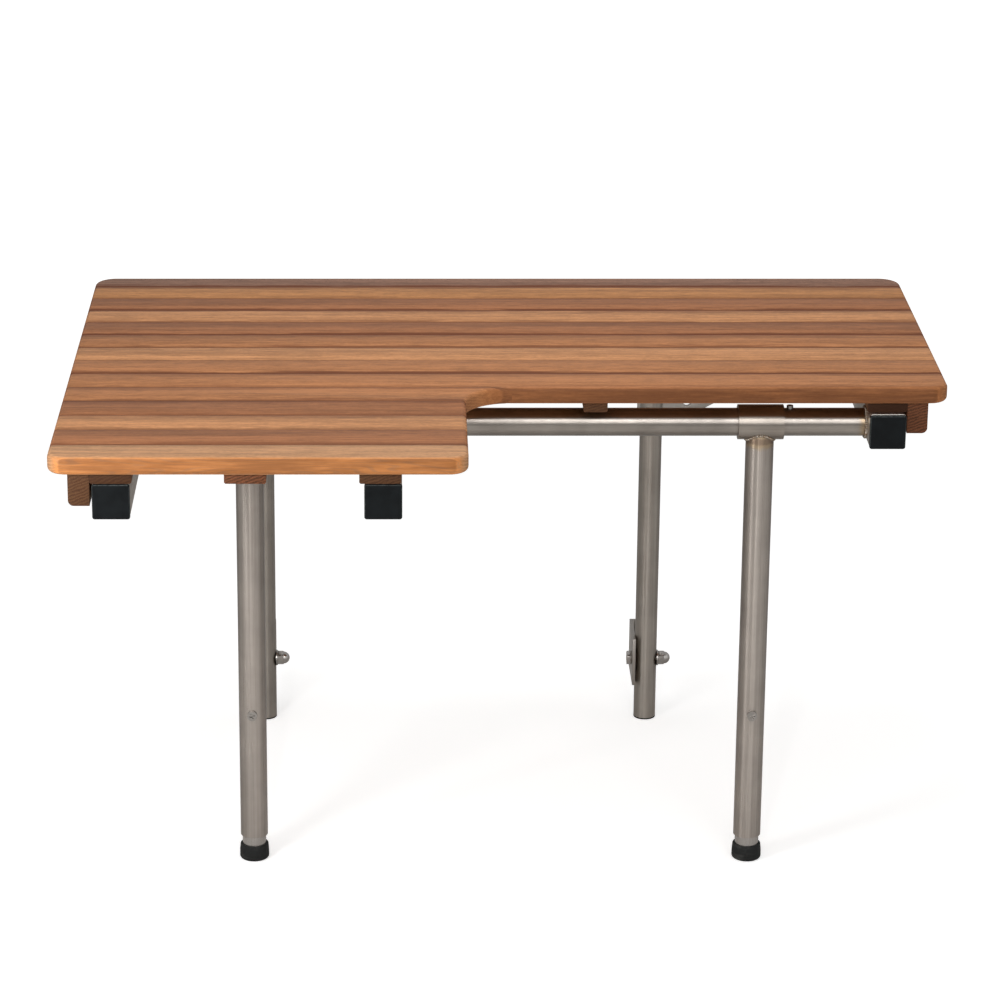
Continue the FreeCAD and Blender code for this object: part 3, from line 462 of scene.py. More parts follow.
# Feet of the posts: a cross bolt through bracket and post, a washer, a domed
# nut, and a plastic plug under each tube. The fasteners are turned stainless
# steel, brighter than the tubes.

fastener_steel = make_steel("fastener_steel", "Y", chart(178, 174, 170), shine=0.22, streaks=0.2)
for node in ("post_bolts", "post_nuts"):
    eased_piece(node, fastener_steel, "wall_frame", 0.35 * MM)
eased_piece("post_washers", fastener_steel, "wall_frame", 0.2 * MM)


def make_edge_wear_and_highlight():
    """How near a point is to an edge of a box, for edges paler from wear and from a painted highlight."""
    tree, given, back = new_group("edge_wear_and_highlight", "ShaderNodeTree", (
        ("Position", "Vector", (0, 0, 0)),
        ("Low", "Vector", (0, 0, 0)),
        ("High", "Vector", (1, 1, 1)),
        ("Width", "Float", MM),
    ), (("Wear", "Float"),))
    inner = vector(tree, "MINIMUM", vector(tree, "SUBTRACT", given["Position"], given["Low"]),
                   vector(tree, "SUBTRACT", given["High"], given["Position"]))
    parts = put(tree, "ShaderNodeSeparateXYZ", {0: inner}).outputs
    least = calc(tree, "MINIMUM", calc(tree, "MINIMUM", parts[0], parts[1]), parts[2])
    most = calc(tree, "MAXIMUM", calc(tree, "MAXIMUM", parts[0], parts[1]), parts[2])
    total = calc(tree, "ADD", calc(tree, "ADD", parts[0], parts[1]), parts[2])
    second = calc(tree, "SUBTRACT", calc(tree, "SUBTRACT", total, least), most)
    chips = spread(tree, given["Position"], (700, 700, 700), 3.0, 0.7)
    reach = calc(tree, "MULTIPLY", given["Width"], calc(tree, "MULTIPLY", chips, 2.0))
    send(tree, back, Wear=ease(tree, calc(tree, "DIVIDE", second, reach), 1.0, 0.4))
    return tree


EDGE_WEAR_AND_HIGHLIGHT = make_edge_wear_and_highlight()


def make_plastic(name, box):
    """Black moulded plastic, finely pitted, paler along its edges: partly rubbed wear, partly a painted
    highlight.
    """
    material, tree, shader = new_material(name, {"Specular IOR Level": 0.12})
    place = tree.nodes.new("ShaderNodeTexCoord").outputs["Object"]
    pits = spread(tree, place, (1600, 1600, 1600), 2.0)
    cloud = spread(tree, place, (90, 90, 90), 3.0)
    colour = stain(tree, ease(tree, cloud, 0.3, 0.7), chart(9, 12, 14), chart(14, 18, 20))
    worn_and_lit = fed_group(tree, EDGE_WEAR_AND_HIGHLIGHT, {"Position": place, "Low": box[0], "High": box[1],
                                       "Width": 0.9 * MM}).outputs[0]
    # Pale grey along the edges: partly rubbed wear, partly a painted highlight on the rounded edges.
    edge = stain(tree, calc(tree, "MULTIPLY", worn_and_lit, 0.55), colour, chart(92, 98, 98))
    tree.links.new(edge, shader.inputs["Base Color"])
    tree.links.new(ease(tree, cloud, 0.3, 0.7, 0.42, 0.58), shader.inputs["Roughness"])
    bump(tree, shader, pits, 0.35, 0.1 * MM)
    return material


eased_piece("post_plugs", make_plastic("post_plug_plastic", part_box("post_plugs")), "wall_frame",
            0.3 * MM)


# Arms. Three square stainless tubes carry the slats, brushed along their length.
# Their inner faces are pierced or met by the crossbars.

arm_steel = make_steel("arm_steel", "Y", chart(196, 191, 185), shine=0.3)
for arm in ("left_arm", "middle_arm", "right_arm"):
    eased_piece(arm, arm_steel, "seat", 0.15 * MM)


# Plugs. A black moulded plug closes each end of each arm: a flange with rounded
# edges outside, and a tongue inside the tube.

for node in ("left_arm_front_plug", "middle_arm_front_plug", "right_arm_front_plug", "arm_rear_plugs"):
    low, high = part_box(node)
    eased_piece(node, make_plastic(f"{node}_plastic", (low, high)), "seat", 0.4 * MM)


# Crossbars. Round tubes between the arms: the legs turn on the front one, and
# the whole seat turns about the rear one. A bead runs round each end.

front_low, front_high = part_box("front_crossbar")
FRONT_Y = (front_low.y + front_high.y) / 2
BAR_RADIUS = (front_high.z - front_low.z) / 2
BAR_END = front_high.x
arm_low, arm_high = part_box("middle_arm")
weld_planes = (-BAR_END, arm_low.x, arm_high.x, BAR_END)
bar_steel = make_steel("bar_steel", "X", chart(150, 143, 136), shine=0.34, streaks=0.45, clouds=0.7,
                       around="X", tint=tint_from("X", *weld_planes))
for node in ("front_crossbar", "rear_crossbar"):
    wear(node, bar_steel)

BEAD_OUT = 0.9 * MM
inward = (BEAD_OUT, -BEAD_OUT, BEAD_OUT, -BEAD_OUT)
weld_piece("crossbar_weld_beads", [
    ring_round_bar(plane + step, bar_y, BAR_RADIUS + BEAD_OUT)
    for plane, step in zip(weld_planes, inward) for bar_y in (FRONT_Y, HINGE_Y)
], "seat", replaced=("crossbar_welds",))


# Battens and cleats. Battens of darker wood lie between the arms and the slats,
# and taller cleats stand beside the outer arms. Their front ends show end grain
# with the marks of the saw, darkened further by painted shade under the seat.

def make_teak_grain():
    """Straight-grained wood along X, with bands, fine fibres and pores, and its sawn end grain."""
    tree, given, back = new_group("teak_grain", "ShaderNodeTree", (
        ("Position", "Vector", (0, 0, 0)),
        ("Facing", "Vector", (0, 0, 1)),
        ("Light", "Color", chart(190, 140, 100)),
        ("Dark", "Color", chart(110, 66, 42)),
        ("Seed", "Float", 0.0),
        ("Figure", "Float", 0.0),
        ("End Dark And Painted Shade", "Float", 0.35),
    ), SURFACE)
    offset = put(tree, "ShaderNodeCombineXYZ", {
        0: given["Seed"], 1: calc(tree, "MULTIPLY", given["Seed"], 0.37),
        2: calc(tree, "MULTIPLY", given["Seed"], 0.61)}).outputs[0]
    start = vector(tree, "ADD", given["Position"], offset)
    wander = calc(tree, "SUBTRACT", spread(tree, start, (2.5, 9, 9), 2.0), 0.5)
    aside = put(tree, "ShaderNodeCombineXYZ", {
        1: calc(tree, "MULTIPLY", wander, 9 * MM), 2: calc(tree, "MULTIPLY", wander, 6 * MM)}).outputs[0]
    place = vector(tree, "ADD", start, aside)
    bands = spread(tree, place, (1.2, 80, 80), 2.0)
    streaks = spread(tree, place, (7, 260, 260), 3.0, 0.6)
    flecks = spread(tree, place, (45, 420, 420), 2.0, 0.6)
    grit = spread(tree, place, (260, 600, 600), 1.0)
    fibres = spread(tree, place, (30, 1300, 1300), 2.0, 0.6)
    pores = ease(tree, spread(tree, place, (60, 1500, 1500), 1.0), 0.58, 0.7)
    mixed = calc(tree, "MULTIPLY_ADD", bands, 0.8, calc(tree, "MULTIPLY", streaks, 0.8))
    mixed = calc(tree, "MULTIPLY_ADD", flecks, 0.9, mixed)
    mixed = calc(tree, "MULTIPLY_ADD", fibres, 0.5, mixed)
    mixed = calc(tree, "MULTIPLY_ADD", grit, 0.5, mixed)
    tone = ease(tree, mixed, 1.35, 2.15)
    long_grain = stain(tree, tone, given["Dark"], given["Light"])
    long_grain = stain(tree, calc(tree, "MULTIPLY", pores, 0.35), long_grain, chart(70, 38, 22))

    facing = put(tree, "ShaderNodeSeparateXYZ", {0: given["Facing"]}).outputs
    end = ease(tree, calc(tree, "ABSOLUTE", facing[0]), 0.35, 0.95)
    front = ease(tree, calc(tree, "ABSOLUTE", facing[1]), 0.2, 0.95)
    field = spread(tree, start, (4, 20, 48), 2.0)
    flames = ease(tree, calc(tree, "SINE", calc(tree, "MULTIPLY", field, 130.0)), 0.2, 1.0, 0.0, 0.6)
    flame_amount = calc(tree, "MULTIPLY", calc(tree, "MULTIPLY", front, given["Figure"]), flames)
    glow = stain(tree, calc(tree, "MULTIPLY", front, given["Figure"]), long_grain, chart(210, 132, 66))
    flamed = stain(tree, flame_amount, glow, given["Dark"])

    rings_place = vector(tree, "MULTIPLY", start, (0, 1, 1.3))
    rings_feeds = {"Vector": rings_place, "Scale": 95.0, "Distortion": 4.0, "Detail": 2.0,
                   "Detail Scale": 1.5}
    rings = put(tree, "ShaderNodeTexWave", rings_feeds, wave_type="RINGS", rings_direction="X").outputs[1]
    saw_feeds = {"Vector": given["Position"], "Rotation": (math.radians(38), 0, 0)}
    turned = put(tree, "ShaderNodeMapping", saw_feeds)
    saw = spread(tree, turned.outputs[0], (0, 160, 2200), 2.0)
    dots = spread(tree, start, (300, 1500, 1500), 1.0)
    end_tone = calc(tree, "MULTIPLY_ADD", saw, 0.8, calc(tree, "MULTIPLY_ADD", rings, 0.4, dots))
    end_colour = stain(tree, ease(tree, end_tone, 0.7, 1.5), given["Dark"], given["Light"])
    # End faces go towards a dark brown: end grain is darker, and on the batten and cleat ends under the seat
    # this also paints their shade.
    end_colour = stain(tree, given["End Dark And Painted Shade"], end_colour, chart(52, 30, 18))
    colour = stain(tree, end, flamed, end_colour)
    rough = calc(tree, "MULTIPLY_ADD", fibres, 0.18, 0.4)
    rough = calc(tree, "MULTIPLY_ADD", end, 0.2, rough)
    relief = calc(tree, "ADD", fibres, calc(tree, "MULTIPLY", streaks, 0.5))
    height = calc(tree, "MULTIPLY_ADD", pores, -0.6, relief)
    height = calc(tree, "MULTIPLY_ADD", calc(tree, "MULTIPLY", saw, end), 2.0, height)
    send(tree, back, Color=colour, Roughness=rough, Height=height)
    return tree


TEAK_GRAIN = make_teak_grain()


def make_wood(name, direction, light, dark, seed, figure=0.0, end_dark_and_painted_shade=0.35, over=None):
    """One board's wood: its colours, its seed, its darker end grain with painted shade, and what lies over
    its grain.
    """
    material, tree, shader = new_material(name, {"Specular IOR Level": 0.12})
    place = laid(tree, "Object", direction)
    wood = fed_group(tree, TEAK_GRAIN, {
        "Position": place, "Facing": laid(tree, "Normal", direction), "Light": light, "Dark": dark,
        "Seed": seed, "Figure": figure, "End Dark And Painted Shade": end_dark_and_painted_shade})
    colour = over(tree, wood.outputs["Color"]) if over else wood.outputs["Color"]
    tree.links.new(colour, shader.inputs["Base Color"])
    tree.links.new(wood.outputs["Roughness"], shader.inputs["Roughness"])
    bump(tree, shader, wood.outputs["Height"], 0.35, 0.12 * MM)
    return material


BATTEN_EDGE = 0.3 * MM
BATTEN_LIGHT = chart(112, 78, 52)
BATTEN_DARK = chart(72, 47, 31)
RED_LIGHT = chart(136, 84, 57)
# Each piece: its light grain colour and how far its end grain is darkened. The darkening is partly the end
# grain's own and partly painted shade, deepest on the right batten's end.
under_wood = (
    ("left_batten", BATTEN_LIGHT, 0.7),
    ("middle_batten", BATTEN_LIGHT, 0.45),
    ("right_batten", BATTEN_LIGHT, 0.95),
    ("free_batten", RED_LIGHT, 0.25),
    ("narrow_batten", BATTEN_LIGHT, 0.35),
    ("left_cleat", BATTEN_LIGHT, 0.4),
    ("right_cleat", RED_LIGHT, 0.35),
)
for number, (node, light, end_dark_and_painted_shade) in enumerate(under_wood):
    wood = make_wood(f"{node}_wood", "Y", light, BATTEN_DARK, 3.1 + 1.7 * number, end_dark_and_painted_shade=end_dark_and_painted_shade)
    eased_piece(node, wood, "seat", BATTEN_EDGE)


# Slats. Fourteen boards are glued edge to edge, and the edge of the whole panel
# is rounded over. Each board has its own tone. The joints are closed, a hair
# below the faces, and some boards are darker along an edge.

def make_board_edges():
    """The darker band that some boards have along an edge, and the thin glue line between two."""
    tree, given, back = new_group("board_edges", "ShaderNodeTree", (
        ("Color", "Color", chart(190, 140, 100)),
        ("Position", "Vector", (0, 0, 0)),
        ("Back", "Float", 0.0),
        ("Front", "Float", 0.0),
        ("Back Shade", "Float", 0.0),
        ("Front Shade", "Float", 0.0),
        ("Seed", "Float", 0.0),
    ), (("Color", "Color"),))
    across = put(tree, "ShaderNodeSeparateXYZ", {0: given["Position"]}).outputs[1]
    shift = put(tree, "ShaderNodeCombineXYZ", {0: given["Seed"], 1: given["Seed"]}).outputs[0]
    ragged = spread(tree, vector(tree, "ADD", given["Position"], shift), (8, 110, 110), 4.0, 0.7)
    colour = given["Color"]
    for edge, shade in (("Back", "Back Shade"), ("Front", "Front Shade")):
        away = calc(tree, "ABSOLUTE", calc(tree, "SUBTRACT", across, given[edge]))
        reach = ease(tree, ragged, 0.3, 0.72, 2 * MM, 14 * MM)
        band = ease(tree, calc(tree, "DIVIDE", away, reach), 1.15, 0.4)
        colour = stain(tree, calc(tree, "MULTIPLY", band, given[shade]), colour, chart(100, 54, 32))
        line = ease(tree, away, 1.5 * MM, 0.5 * MM, 0.0, 0.6)
        broken = calc(tree, "MULTIPLY", line, ease(tree, ragged, 0.3, 0.6, 0.35, 1.0))
        colour = stain(tree, broken, colour, chart(72, 40, 26))
    send(tree, back, Color=colour)
    return tree


BOARD_EDGES = make_board_edges()

TONES = {
    "grey": (131, 98, 81),
    "pale": (185, 139, 101),
    "light": (186, 132, 90),
    "golden": (175, 122, 78),
    "medium": (166, 112, 73),
    "dark": (150, 99, 66),
}
# Tone, shade along the back edge and shade along the front edge of each board.
BOARDS = (
    ("grey", 0.1, 0.9), ("golden", 0.5, 0.4), ("dark", 0.2, 0.9), ("light", 0.5, 0.6),
    ("dark", 0.3, 0.9), ("medium", 0.35, 0.7), ("light", 0.1, 0.15), ("medium", 0.0, 0.9),
    ("medium", 0.35, 0.35), ("medium", 0.4, 0.7), ("dark", 0.4, 0.5), ("light", 0.4, 0.4),
    ("dark", 0.1, 0.6), ("pale", 0.2, 0.0),
)


def shaded(colour, factor):
    """A colour made lighter or darker by a factor."""
    return tuple(part * factor for part in colour[:3]) + (1.0,)


LIGHT_FIBRE = 1.3
DARK_FIBRE = 0.72
SEED_STEP = 1.37
PLAIN_FACE = 0.25
FLAMED_FACE = 0.75
SLAT_END_DARK_AND_PAINTED_SHADE = 0.15
SLAT_EDGE = 0.3 * MM


def edge_bands(low, high, back_shade, front_shade, seed):
    """What lays the bands along a board's two edges over its grain."""
    def bands(tree, colour):
        position = tree.nodes.new("ShaderNodeTexCoord").outputs["Object"]
        return fed_group(tree, BOARD_EDGES, {
            "Color": colour, "Position": position, "Back": high.y, "Front": low.y,
            "Back Shade": back_shade, "Front Shade": front_shade, "Seed": seed}).outputs[0]
    return bands


for number, (tone, back_shade, front_shade) in enumerate(BOARDS, start=1):
    node = f"slat_{number:02d}"
    middle_tone = chart(*TONES[tone])
    light, dark = shaded(middle_tone, LIGHT_FIBRE), shaded(middle_tone, DARK_FIBRE)
    seed = SEED_STEP * number
    bands = edge_bands(*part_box(node), back_shade, front_shade, seed)
    figure = FLAMED_FACE if number == len(BOARDS) else PLAIN_FACE
    wood = make_wood(f"{node}_wood", "X", light, dark, seed, figure=figure, end_dark_and_painted_shade=SLAT_END_DARK_AND_PAINTED_SHADE,
                     over=bands)
    eased_piece(node, wood, "seat", SLAT_EDGE)


# Screws. Pan heads with a cross recess hold the arms, battens and cleats to the
# slats from below, and two stand beside each sleeve as keepers. One tree makes
# them all, each turned to a chance angle as a hand leaves them.

HEAD_HEIGHT = 2.8 * MM


def make_screw_tree():
    """A screw at each point: a domed head with a cross cut into it, and a plain shank."""
    tree, given, back = new_group("cross_head_screws", "GeometryNodeTree", (
        ("Places", "Geometry", None),
        ("Head Diameter", "Float", 8 * MM),
        ("Head Height", "Float", HEAD_HEIGHT),
        ("Shank Diameter", "Float", 4.2 * MM),
        ("Recess Width", "Float", 1.1 * MM),
        ("Recess Depth", "Float", 1.6 * MM),
        ("Seed", "Int", 1),
        ("Material", "Material", None),
    ), (("Screws", "Geometry"),))
    height = given["Head Height"]
    radius = calc(tree, "MULTIPLY", given["Head Diameter"], 0.5)
    top = put(tree, "ShaderNodeCombineXYZ", {2: height}).outputs[0]
    line = put(tree, "GeometryNodeCurvePrimitiveLine", {"End": top}).outputs[0]
    points = put(tree, "GeometryNodeResampleCurve", {"Curve": line, "Count": 10})
    along = tree.nodes.new("GeometryNodeSplineParameter").outputs[0]
    bulge = calc(tree, "SQRT", calc(tree, "SUBTRACT", 1.0, calc(tree, "MULTIPLY", calc(
        tree, "POWER", along, 2.4), 0.62)))
    dome = {"Curve": points.outputs[0], "Radius": bulge}
    domed = put(tree, "GeometryNodeSetCurveRadius", dome).outputs[0]
    circle = put(tree, "GeometryNodeCurvePrimitiveCircle", {"Resolution": 36, "Radius": radius}).outputs[0]
    head = put(tree, "GeometryNodeCurveToMesh", {"Curve": domed, "Profile Curve": circle,
                                                 "Fill Caps": True}).outputs[0]
    bars = []
    length = calc(tree, "MULTIPLY", given["Head Diameter"], 0.56)
    for across, wide, share in ((length, given["Recess Width"], 2.0), (given["Recess Width"], length, 1.9)):
        deep = calc(tree, "MULTIPLY", given["Recess Depth"], share)
        size = put(tree, "ShaderNodeCombineXYZ", {0: across, 1: wide, 2: deep}).outputs[0]
        cube = put(tree, "GeometryNodeMeshCube", {"Size": size}).outputs[0]
        bars.append(put(tree, "GeometryNodeTransform", {"Geometry": cube, "Translation": top}).outputs[0])
    cross = tree.nodes.new("GeometryNodeMeshBoolean")
    cross.operation = "DIFFERENCE"
    cross.solver = "EXACT"
    tree.links.new(head, cross.inputs["Mesh 1"])
    for bar in bars:
        tree.links.new(bar, cross.inputs["Mesh 2"])
    shank = put(tree, "GeometryNodeMeshCylinder", {
        "Vertices": 24, "Radius": calc(tree, "MULTIPLY", given["Shank Diameter"], 0.5),
        "Depth": 1.0}).outputs[0]
    lowered = put(tree, "GeometryNodeTransform", {"Geometry": shank, "Translation": (0, 0, -0.5)}).outputs[0]
    out = put(tree, "GeometryNodeInputNamedAttribute", {"Name": "out"}, data_type="FLOAT_VECTOR").outputs[0]
    reach = put(tree, "GeometryNodeInputNamedAttribute", {"Name": "reach"}, data_type="FLOAT").outputs[0]
    upright = put(tree, "FunctionNodeAlignRotationToVector", {"Vector": out}, axis="Z").outputs[0]
    whirl = put(tree, "FunctionNodeRandomValue", {2: 0.0, 3: 1.6, "Seed": given["Seed"]}, data_type="FLOAT")
    about = {"Axis": (0, 0, 1), "Angle": whirl.outputs[1]}
    twist = put(tree, "FunctionNodeAxisAngleToRotation", about).outputs[0]
    turn = put(tree, "FunctionNodeRotateRotation", {0: upright, 1: twist}, rotation_space="LOCAL").outputs[0]
    long = put(tree, "ShaderNodeCombineXYZ", {0: 1.0, 1: 1.0, 2: reach}).outputs[0]
    join = tree.nodes.new("GeometryNodeJoinGeometry")
    for shape, scale in ((cross.outputs["Mesh"], (1, 1, 1)), (lowered, long)):
        made = put(tree, "GeometryNodeInstanceOnPoints", {
            "Points": given["Places"], "Instance": shape, "Rotation": turn, "Scale": scale})
        tree.links.new(made.outputs[0], join.inputs[0])
    real = put(tree, "GeometryNodeRealizeInstances", {"Geometry": join.outputs[0]}).outputs[0]
    dressed = put(tree, "GeometryNodeSetMaterial", {"Geometry": real, "Material": given["Material"]})
    send(tree, back, Screws=dressed.outputs[0])
    return tree


SCREW_TREE = make_screw_tree()
screw_steel = make_steel("screw_steel", "X", chart(150, 146, 142), shine=0.3, streaks=0.2)


def screw_set(name, places, **sizes):
    """Screws at places given as the seat of the head, the way it faces and the shank's length."""
    mesh = bpy.data.meshes.new(name)
    mesh.from_pydata([seat for seat, out, reach in places], [], [])
    mesh.attributes.new("out", "FLOAT_VECTOR", "POINT")
    mesh.attributes.new("reach", "FLOAT", "POINT")
    for index, (seat, out, reach) in enumerate(places):
        mesh.attributes["out"].data[index].vector = out
        mesh.attributes["reach"].data[index].value = reach
    made = grow(name, mesh, SCREW_TREE, {"Seed": len(name), "Material": screw_steel, **sizes})
    made.set_sharp_from_angle(angle=math.radians(35))
    return made


def wood_screws(node):
    """Each screw points up, its head at the lower end."""
    places = []
    for low, high in solid_boxes(node):
        seat = Vector(((low.x + high.x) / 2, (low.y + high.y) / 2, low.z + HEAD_HEIGHT))
        places.append((seat, (0, 0, -1), high.z - seat.z))
    return places


def keeper_screws(node):
    """Each keeper stands on a crossbar, on top of it or at its back."""
    places = []
    for low, high in solid_boxes(node):
        centre = (low + high) / 2
        up = centre.z - BAR_Z > 2 * MM
        if up:
            seat = Vector((centre.x, centre.y, high.z - HEAD_HEIGHT))
            places.append((seat, (0, 0, 1), seat.z - low.z))
        else:
            seat = Vector((centre.x, high.y - HEAD_HEIGHT, centre.z))
            places.append((seat, (0, 1, 0), seat.y - low.y))
    return places


for node in ("arm_screws", "batten_screws", "cleat_screws"):
    mesh = screw_set(f"{node}_crossed", wood_screws(node))
    finish_piece(f"{node}_crossed", mesh, screw_steel, "seat", (node,))
mesh = screw_set("keeper_screws_crossed", keeper_screws("keeper_screws"), **{"Head Diameter": 6 * MM})
finish_piece("keeper_screws_crossed", mesh, screw_steel, "seat", ("keeper_screws",))


# Legs. A sleeve that turns on the front crossbar, a tube welded under it, and a
# screw through the tube's front that locks the foot inside.

LEG_TONE = chart(163, 155, 148)
LOCK_HEAD = 3 * MM
leg_steel = make_steel("leg_steel", "Z", LEG_TONE, shine=0.31, streaks=0.6, clouds=0.5, around="Z",
                       tint=tint_from("Z", BAR_Z - SLEEVE_RADIUS))
for side in ("left", "right"):
    wear(f"{side}_leg_sleeve", sleeve_steel)
    wear(f"{side}_leg_tube", leg_steel)
    low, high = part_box(f"{side}_leg_tube")
    leg_radius = (high.x - low.x) / 2
    leg_x = (low.x + high.x) / 2
    weld_piece(f"{side}_leg_welds", [saddle_path(leg_x, FRONT_Y, leg_radius + BEAD_OFF_TUBE)],
               f"{side}_leg", pitch=1.6 * MM, size=1.3 * MM)
    low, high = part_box(f"{side}_lock_screw")
    seat = Vector((leg_x, low.y + LOCK_HEAD, (low.z + high.z) / 2))
    mesh = screw_set(f"{side}_lock_screw_crossed", [(seat, (0, -1, 0), high.y - seat.y)],
                     **{"Head Diameter": high.z - low.z, "Head Height": LOCK_HEAD,
                        "Recess Width": 1.7 * MM, "Recess Depth": 2 * MM})
    finish_piece(f"{side}_lock_screw_crossed", mesh, screw_steel, f"{side}_leg",
                 (f"{side}_lock_screw",))


# Feet. A bright inner tube slides in each leg, and a moulded rubber tip with a
# rounded lower edge and rings in its sole is pushed over its end.

foot_steel = make_steel("foot_steel", "Z", chart(176, 172, 168), shine=0.2, streaks=0.3, around="Z")


def make_rubber():
    material, tree, shader = new_material("tip_rubber", {"Specular IOR Level": 0.18})
    place = tree.nodes.new("ShaderNodeTexCoord").outputs["Object"]
    grit = spread(tree, place, (900, 900, 900), 3.0)
    dust = spread(tree, place, (60, 60, 140), 3.0)
    colour = stain(tree, ease(tree, dust, 0.45, 0.75), chart(30, 31, 31), chart(62, 62, 60))
    tree.links.new(colour, shader.inputs["Base Color"])
    tree.links.new(ease(tree, grit, 0.3, 0.7, 0.6, 0.8), shader.inputs["Roughness"])
    bump(tree, shader, grit, 0.4, 0.15 * MM)
    return material


def spun(name, outline, steps=72):
    """A closed outline of radius and height, turned about the upright axis."""
    shape = bmesh.new()
    rings = []
    for radius, height in outline:
        if radius < 0.01 * MM:
            rings.append([shape.verts.new((0, 0, height))] * steps)
        else:
            rings.append([shape.verts.new((radius * math.cos(2 * math.pi * step / steps),
                                           radius * math.sin(2 * math.pi * step / steps), height))
                          for step in range(steps)])
    for ring, above in zip(rings, rings[1:]):
        for step in range(steps):
            after = (step + 1) % steps
            corners = [ring[step], ring[after], above[after], above[step]]
            face = [corner for index, corner in enumerate(corners) if corner not in corners[:index]]
            if len(face) > 2:
                shape.faces.new(face)
    bmesh.ops.recalc_face_normals(shape, faces=shape.faces)
    mesh = bpy.data.meshes.new(name)
    shape.to_mesh(mesh)
    shape.free()
    return mesh


tip_rubber = make_rubber()
tube_low, tube_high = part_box("left_foot_tube")
foot_radius = (tube_high.x - tube_low.x) / 2
tip_low, tip_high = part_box("left_foot_tip")
tip_radius = (tip_high.x - tip_low.x) / 2
tip_height = tip_high.z - tip_low.z
rubber_floor = tube_low.z - tip_low.z
sole_round = 2.6 * MM
groove_depth = 0.7 * MM
outline = [(0, groove_depth)]
for inner, outer in ((2.5, 4.5), (6.5, 8.5)):
    outline += [(inner * MM, groove_depth), (inner * MM + groove_depth / 2, 0),
                (outer * MM, 0), (outer * MM + groove_depth / 2, groove_depth)]
outline += [(tip_radius - sole_round - 0.6 * MM, groove_depth), (tip_radius - sole_round, 0)]
for step in range(1, 8):
    turn = math.pi / 2 * step / 7
    outline.append((tip_radius - sole_round * (1 - math.sin(turn)), sole_round * (1 - math.cos(turn))))
outline += [(tip_radius - 0.1 * MM, tip_height * 0.55), (tip_radius - 0.6 * MM, tip_height - 0.9 * MM),
            (tip_radius - 0.9 * MM, tip_height - 0.3 * MM), (tip_radius - 1.2 * MM, tip_height),
            (foot_radius + 0.02 * MM, tip_height), (foot_radius, rubber_floor), (0, rubber_floor)]
for side in ("left", "right"):
    wear(f"{side}_foot_tube", foot_steel)
    low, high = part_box(f"{side}_foot_tip")
    mesh = spun(f"{side}_foot_tip_moulded", outline)
    mesh.transform(Matrix.Translation(((low.x + high.x) / 2, (low.y + high.y) / 2, low.z)))
    for face in mesh.polygons:
        face.use_smooth = True
    mesh.set_sharp_from_angle(angle=math.radians(38))
    finish_piece(f"{side}_foot_tip_moulded", mesh, tip_rubber, f"{side}_foot",
                 (f"{side}_foot_tip",))


# The room: a pale floor that goes on as far as the eye, and soft lamps. It isn't
# part of the object.

FLOOR_Z = cad_low.z
FLOOR_HALF = 12.0


def make_floor():
    """White to the camera with a soft shadow, warm grey in the steel, and clear from below."""
    mesh = bpy.data.meshes.new("floor")
    corners = [(x * FLOOR_HALF, y * FLOOR_HALF, FLOOR_Z) for x, y in ((-1, -1), (1, -1), (1, 1), (-1, 1))]
    mesh.from_pydata(corners, [], [(0, 1, 2, 3)])
    material, tree, shader = new_material("floor_paint", {"Roughness": 0.9, "Specular IOR Level": 0.0})
    place = tree.nodes.new("ShaderNodeTexCoord").outputs["Object"]
    paper = stain(tree, spread(tree, place, (3, 3, 3)), chart(240, 240, 239), chart(244, 244, 243))
    depth = put(tree, "ShaderNodeSeparateXYZ", {0: place}).outputs[1]
    mirrored = stain(tree, ease(tree, depth, -0.6, 0.6), chart(240, 238, 235), chart(185, 182, 179))
    seen = tree.nodes.new("ShaderNodeLightPath").outputs["Is Camera Ray"]
    tree.links.new(stain(tree, seen, mirrored, paper), shader.inputs["Base Color"])
    shader.inputs["Emission Color"].default_value = (1, 1, 1, 1)
    away = put(tree, "ShaderNodeVectorMath", {0: place}, operation="LENGTH").outputs["Value"]
    glow = ease(tree, away, 0.7, 3.0, 0.53, 1.0)
    tree.links.new(calc(tree, "MULTIPLY", seen, glow), shader.inputs["Emission Strength"])
    below = tree.nodes.new("ShaderNodeNewGeometry").outputs["Backfacing"]
    clear = tree.nodes.new("ShaderNodeBsdfTransparent").outputs[0]
    sides = put(tree, "ShaderNodeMixShader", {0: below, 1: shader.outputs[0], 2: clear}).outputs[0]
    tree.links.new(sides, tree.nodes["Material Output"].inputs["Surface"])
    mesh.materials.append(material)
    floor = bpy.data.objects.new("floor", mesh)
    bpy.context.scene.collection.objects.link(floor)


WORLD_FILL = 0.42


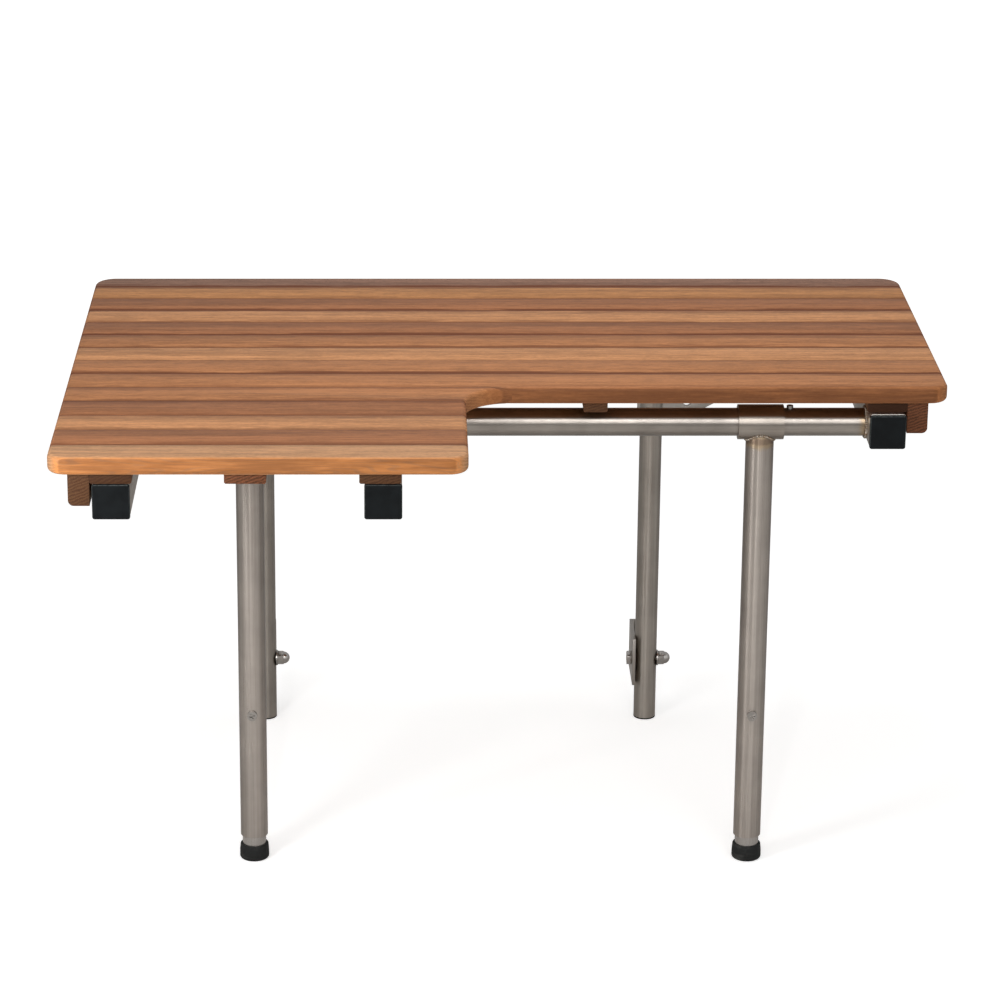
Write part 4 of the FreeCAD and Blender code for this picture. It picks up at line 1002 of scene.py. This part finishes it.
def make_world():
    """White to the camera, dimmer as light, and darker behind the seat in what the steel mirrors."""
    world = bpy.data.worlds.new("studio")
    bpy.context.scene.world = world
    world.use_nodes = True
    tree = world.node_tree
    rays = tree.nodes.new("ShaderNodeLightPath").outputs
    way = tree.nodes.new("ShaderNodeTexCoord").outputs["Generated"]
    depth = put(tree, "ShaderNodeSeparateXYZ", {0: way}).outputs[1]
    mirrored = ease(tree, depth, -0.5, 0.7, 0.9, 0.45)
    more = calc(tree, "SUBTRACT", mirrored, WORLD_FILL)
    strength = calc(tree, "MULTIPLY_ADD", more, rays["Is Glossy Ray"], WORLD_FILL)
    strength = calc(tree, "MAXIMUM", strength, rays["Is Camera Ray"])
    background = tree.nodes["Background"]
    background.inputs["Color"].default_value = (1, 1, 1, 1)
    tree.links.new(strength, background.inputs["Strength"])


def lamp(name, place, target, width, height, watts):
    light = bpy.data.lights.new(name, "AREA")
    light.shape = "RECTANGLE"
    light.size = width
    light.size_y = height
    light.energy = watts
    made = bpy.data.objects.new(name, light)
    made.location = place
    made.rotation_euler = (Vector(target) - Vector(place)).to_track_quat("-Z", "Y").to_euler()
    made.visible_camera = False
    bpy.context.scene.collection.objects.link(made)


make_floor()
make_world()
SEAT_MIDDLE = (0.0, -0.3, 0.05)
lamp("front strip", (-0.1, -2.42, 1.36), SEAT_MIDDLE, 2.2, 0.12, 7)
lamp("top softbox", (0.08, -0.28, 1.0), SEAT_MIDDLE, 0.5, 0.4, 4.6)
lamp("left softbox", (-0.62, -1.02, 0.24), (-0.32, -0.62, 0.1), 0.2, 0.2, 2.6)
lamp("side strip", (-1.55, -1.44, 0.3), (-0.2, -0.4, -0.1), 0.05, 1.2, 2.2)
lamp("leg strip", (-0.29, -2.9, 0.85), (-0.2, -0.4, -0.1), 0.05, 1.2, 8)
lamp("front softbox", (0.6, -2.4, 0.9), SEAT_MIDDLE, 1.2, 0.9, 8)

# The camera stands where the photograph was taken from: left of the middle, a
# little above the seat and far away.
FOCAL_PIXELS = 3700.0
PICTURE_PIXELS = 1000.0
CAMERA_COLUMN = 397.5
PITCH = math.radians(18.89)
lens = bpy.data.cameras.new("camera")
lens.sensor_width = 36.0
lens.lens = FOCAL_PIXELS * lens.sensor_width / PICTURE_PIXELS
lens.shift_x = (PICTURE_PIXELS / 2 - CAMERA_COLUMN) / PICTURE_PIXELS
lens.clip_end = 50.0
camera = bpy.data.objects.new("camera", lens)
camera.location = (-0.098, -3.573, 1.0785)
camera.rotation_euler = (math.pi / 2 - PITCH, 0, 0)
bpy.context.scene.collection.objects.link(camera)
bpy.context.scene.camera = camera
bpy.context.scene.view_settings.view_transform = "Standard"
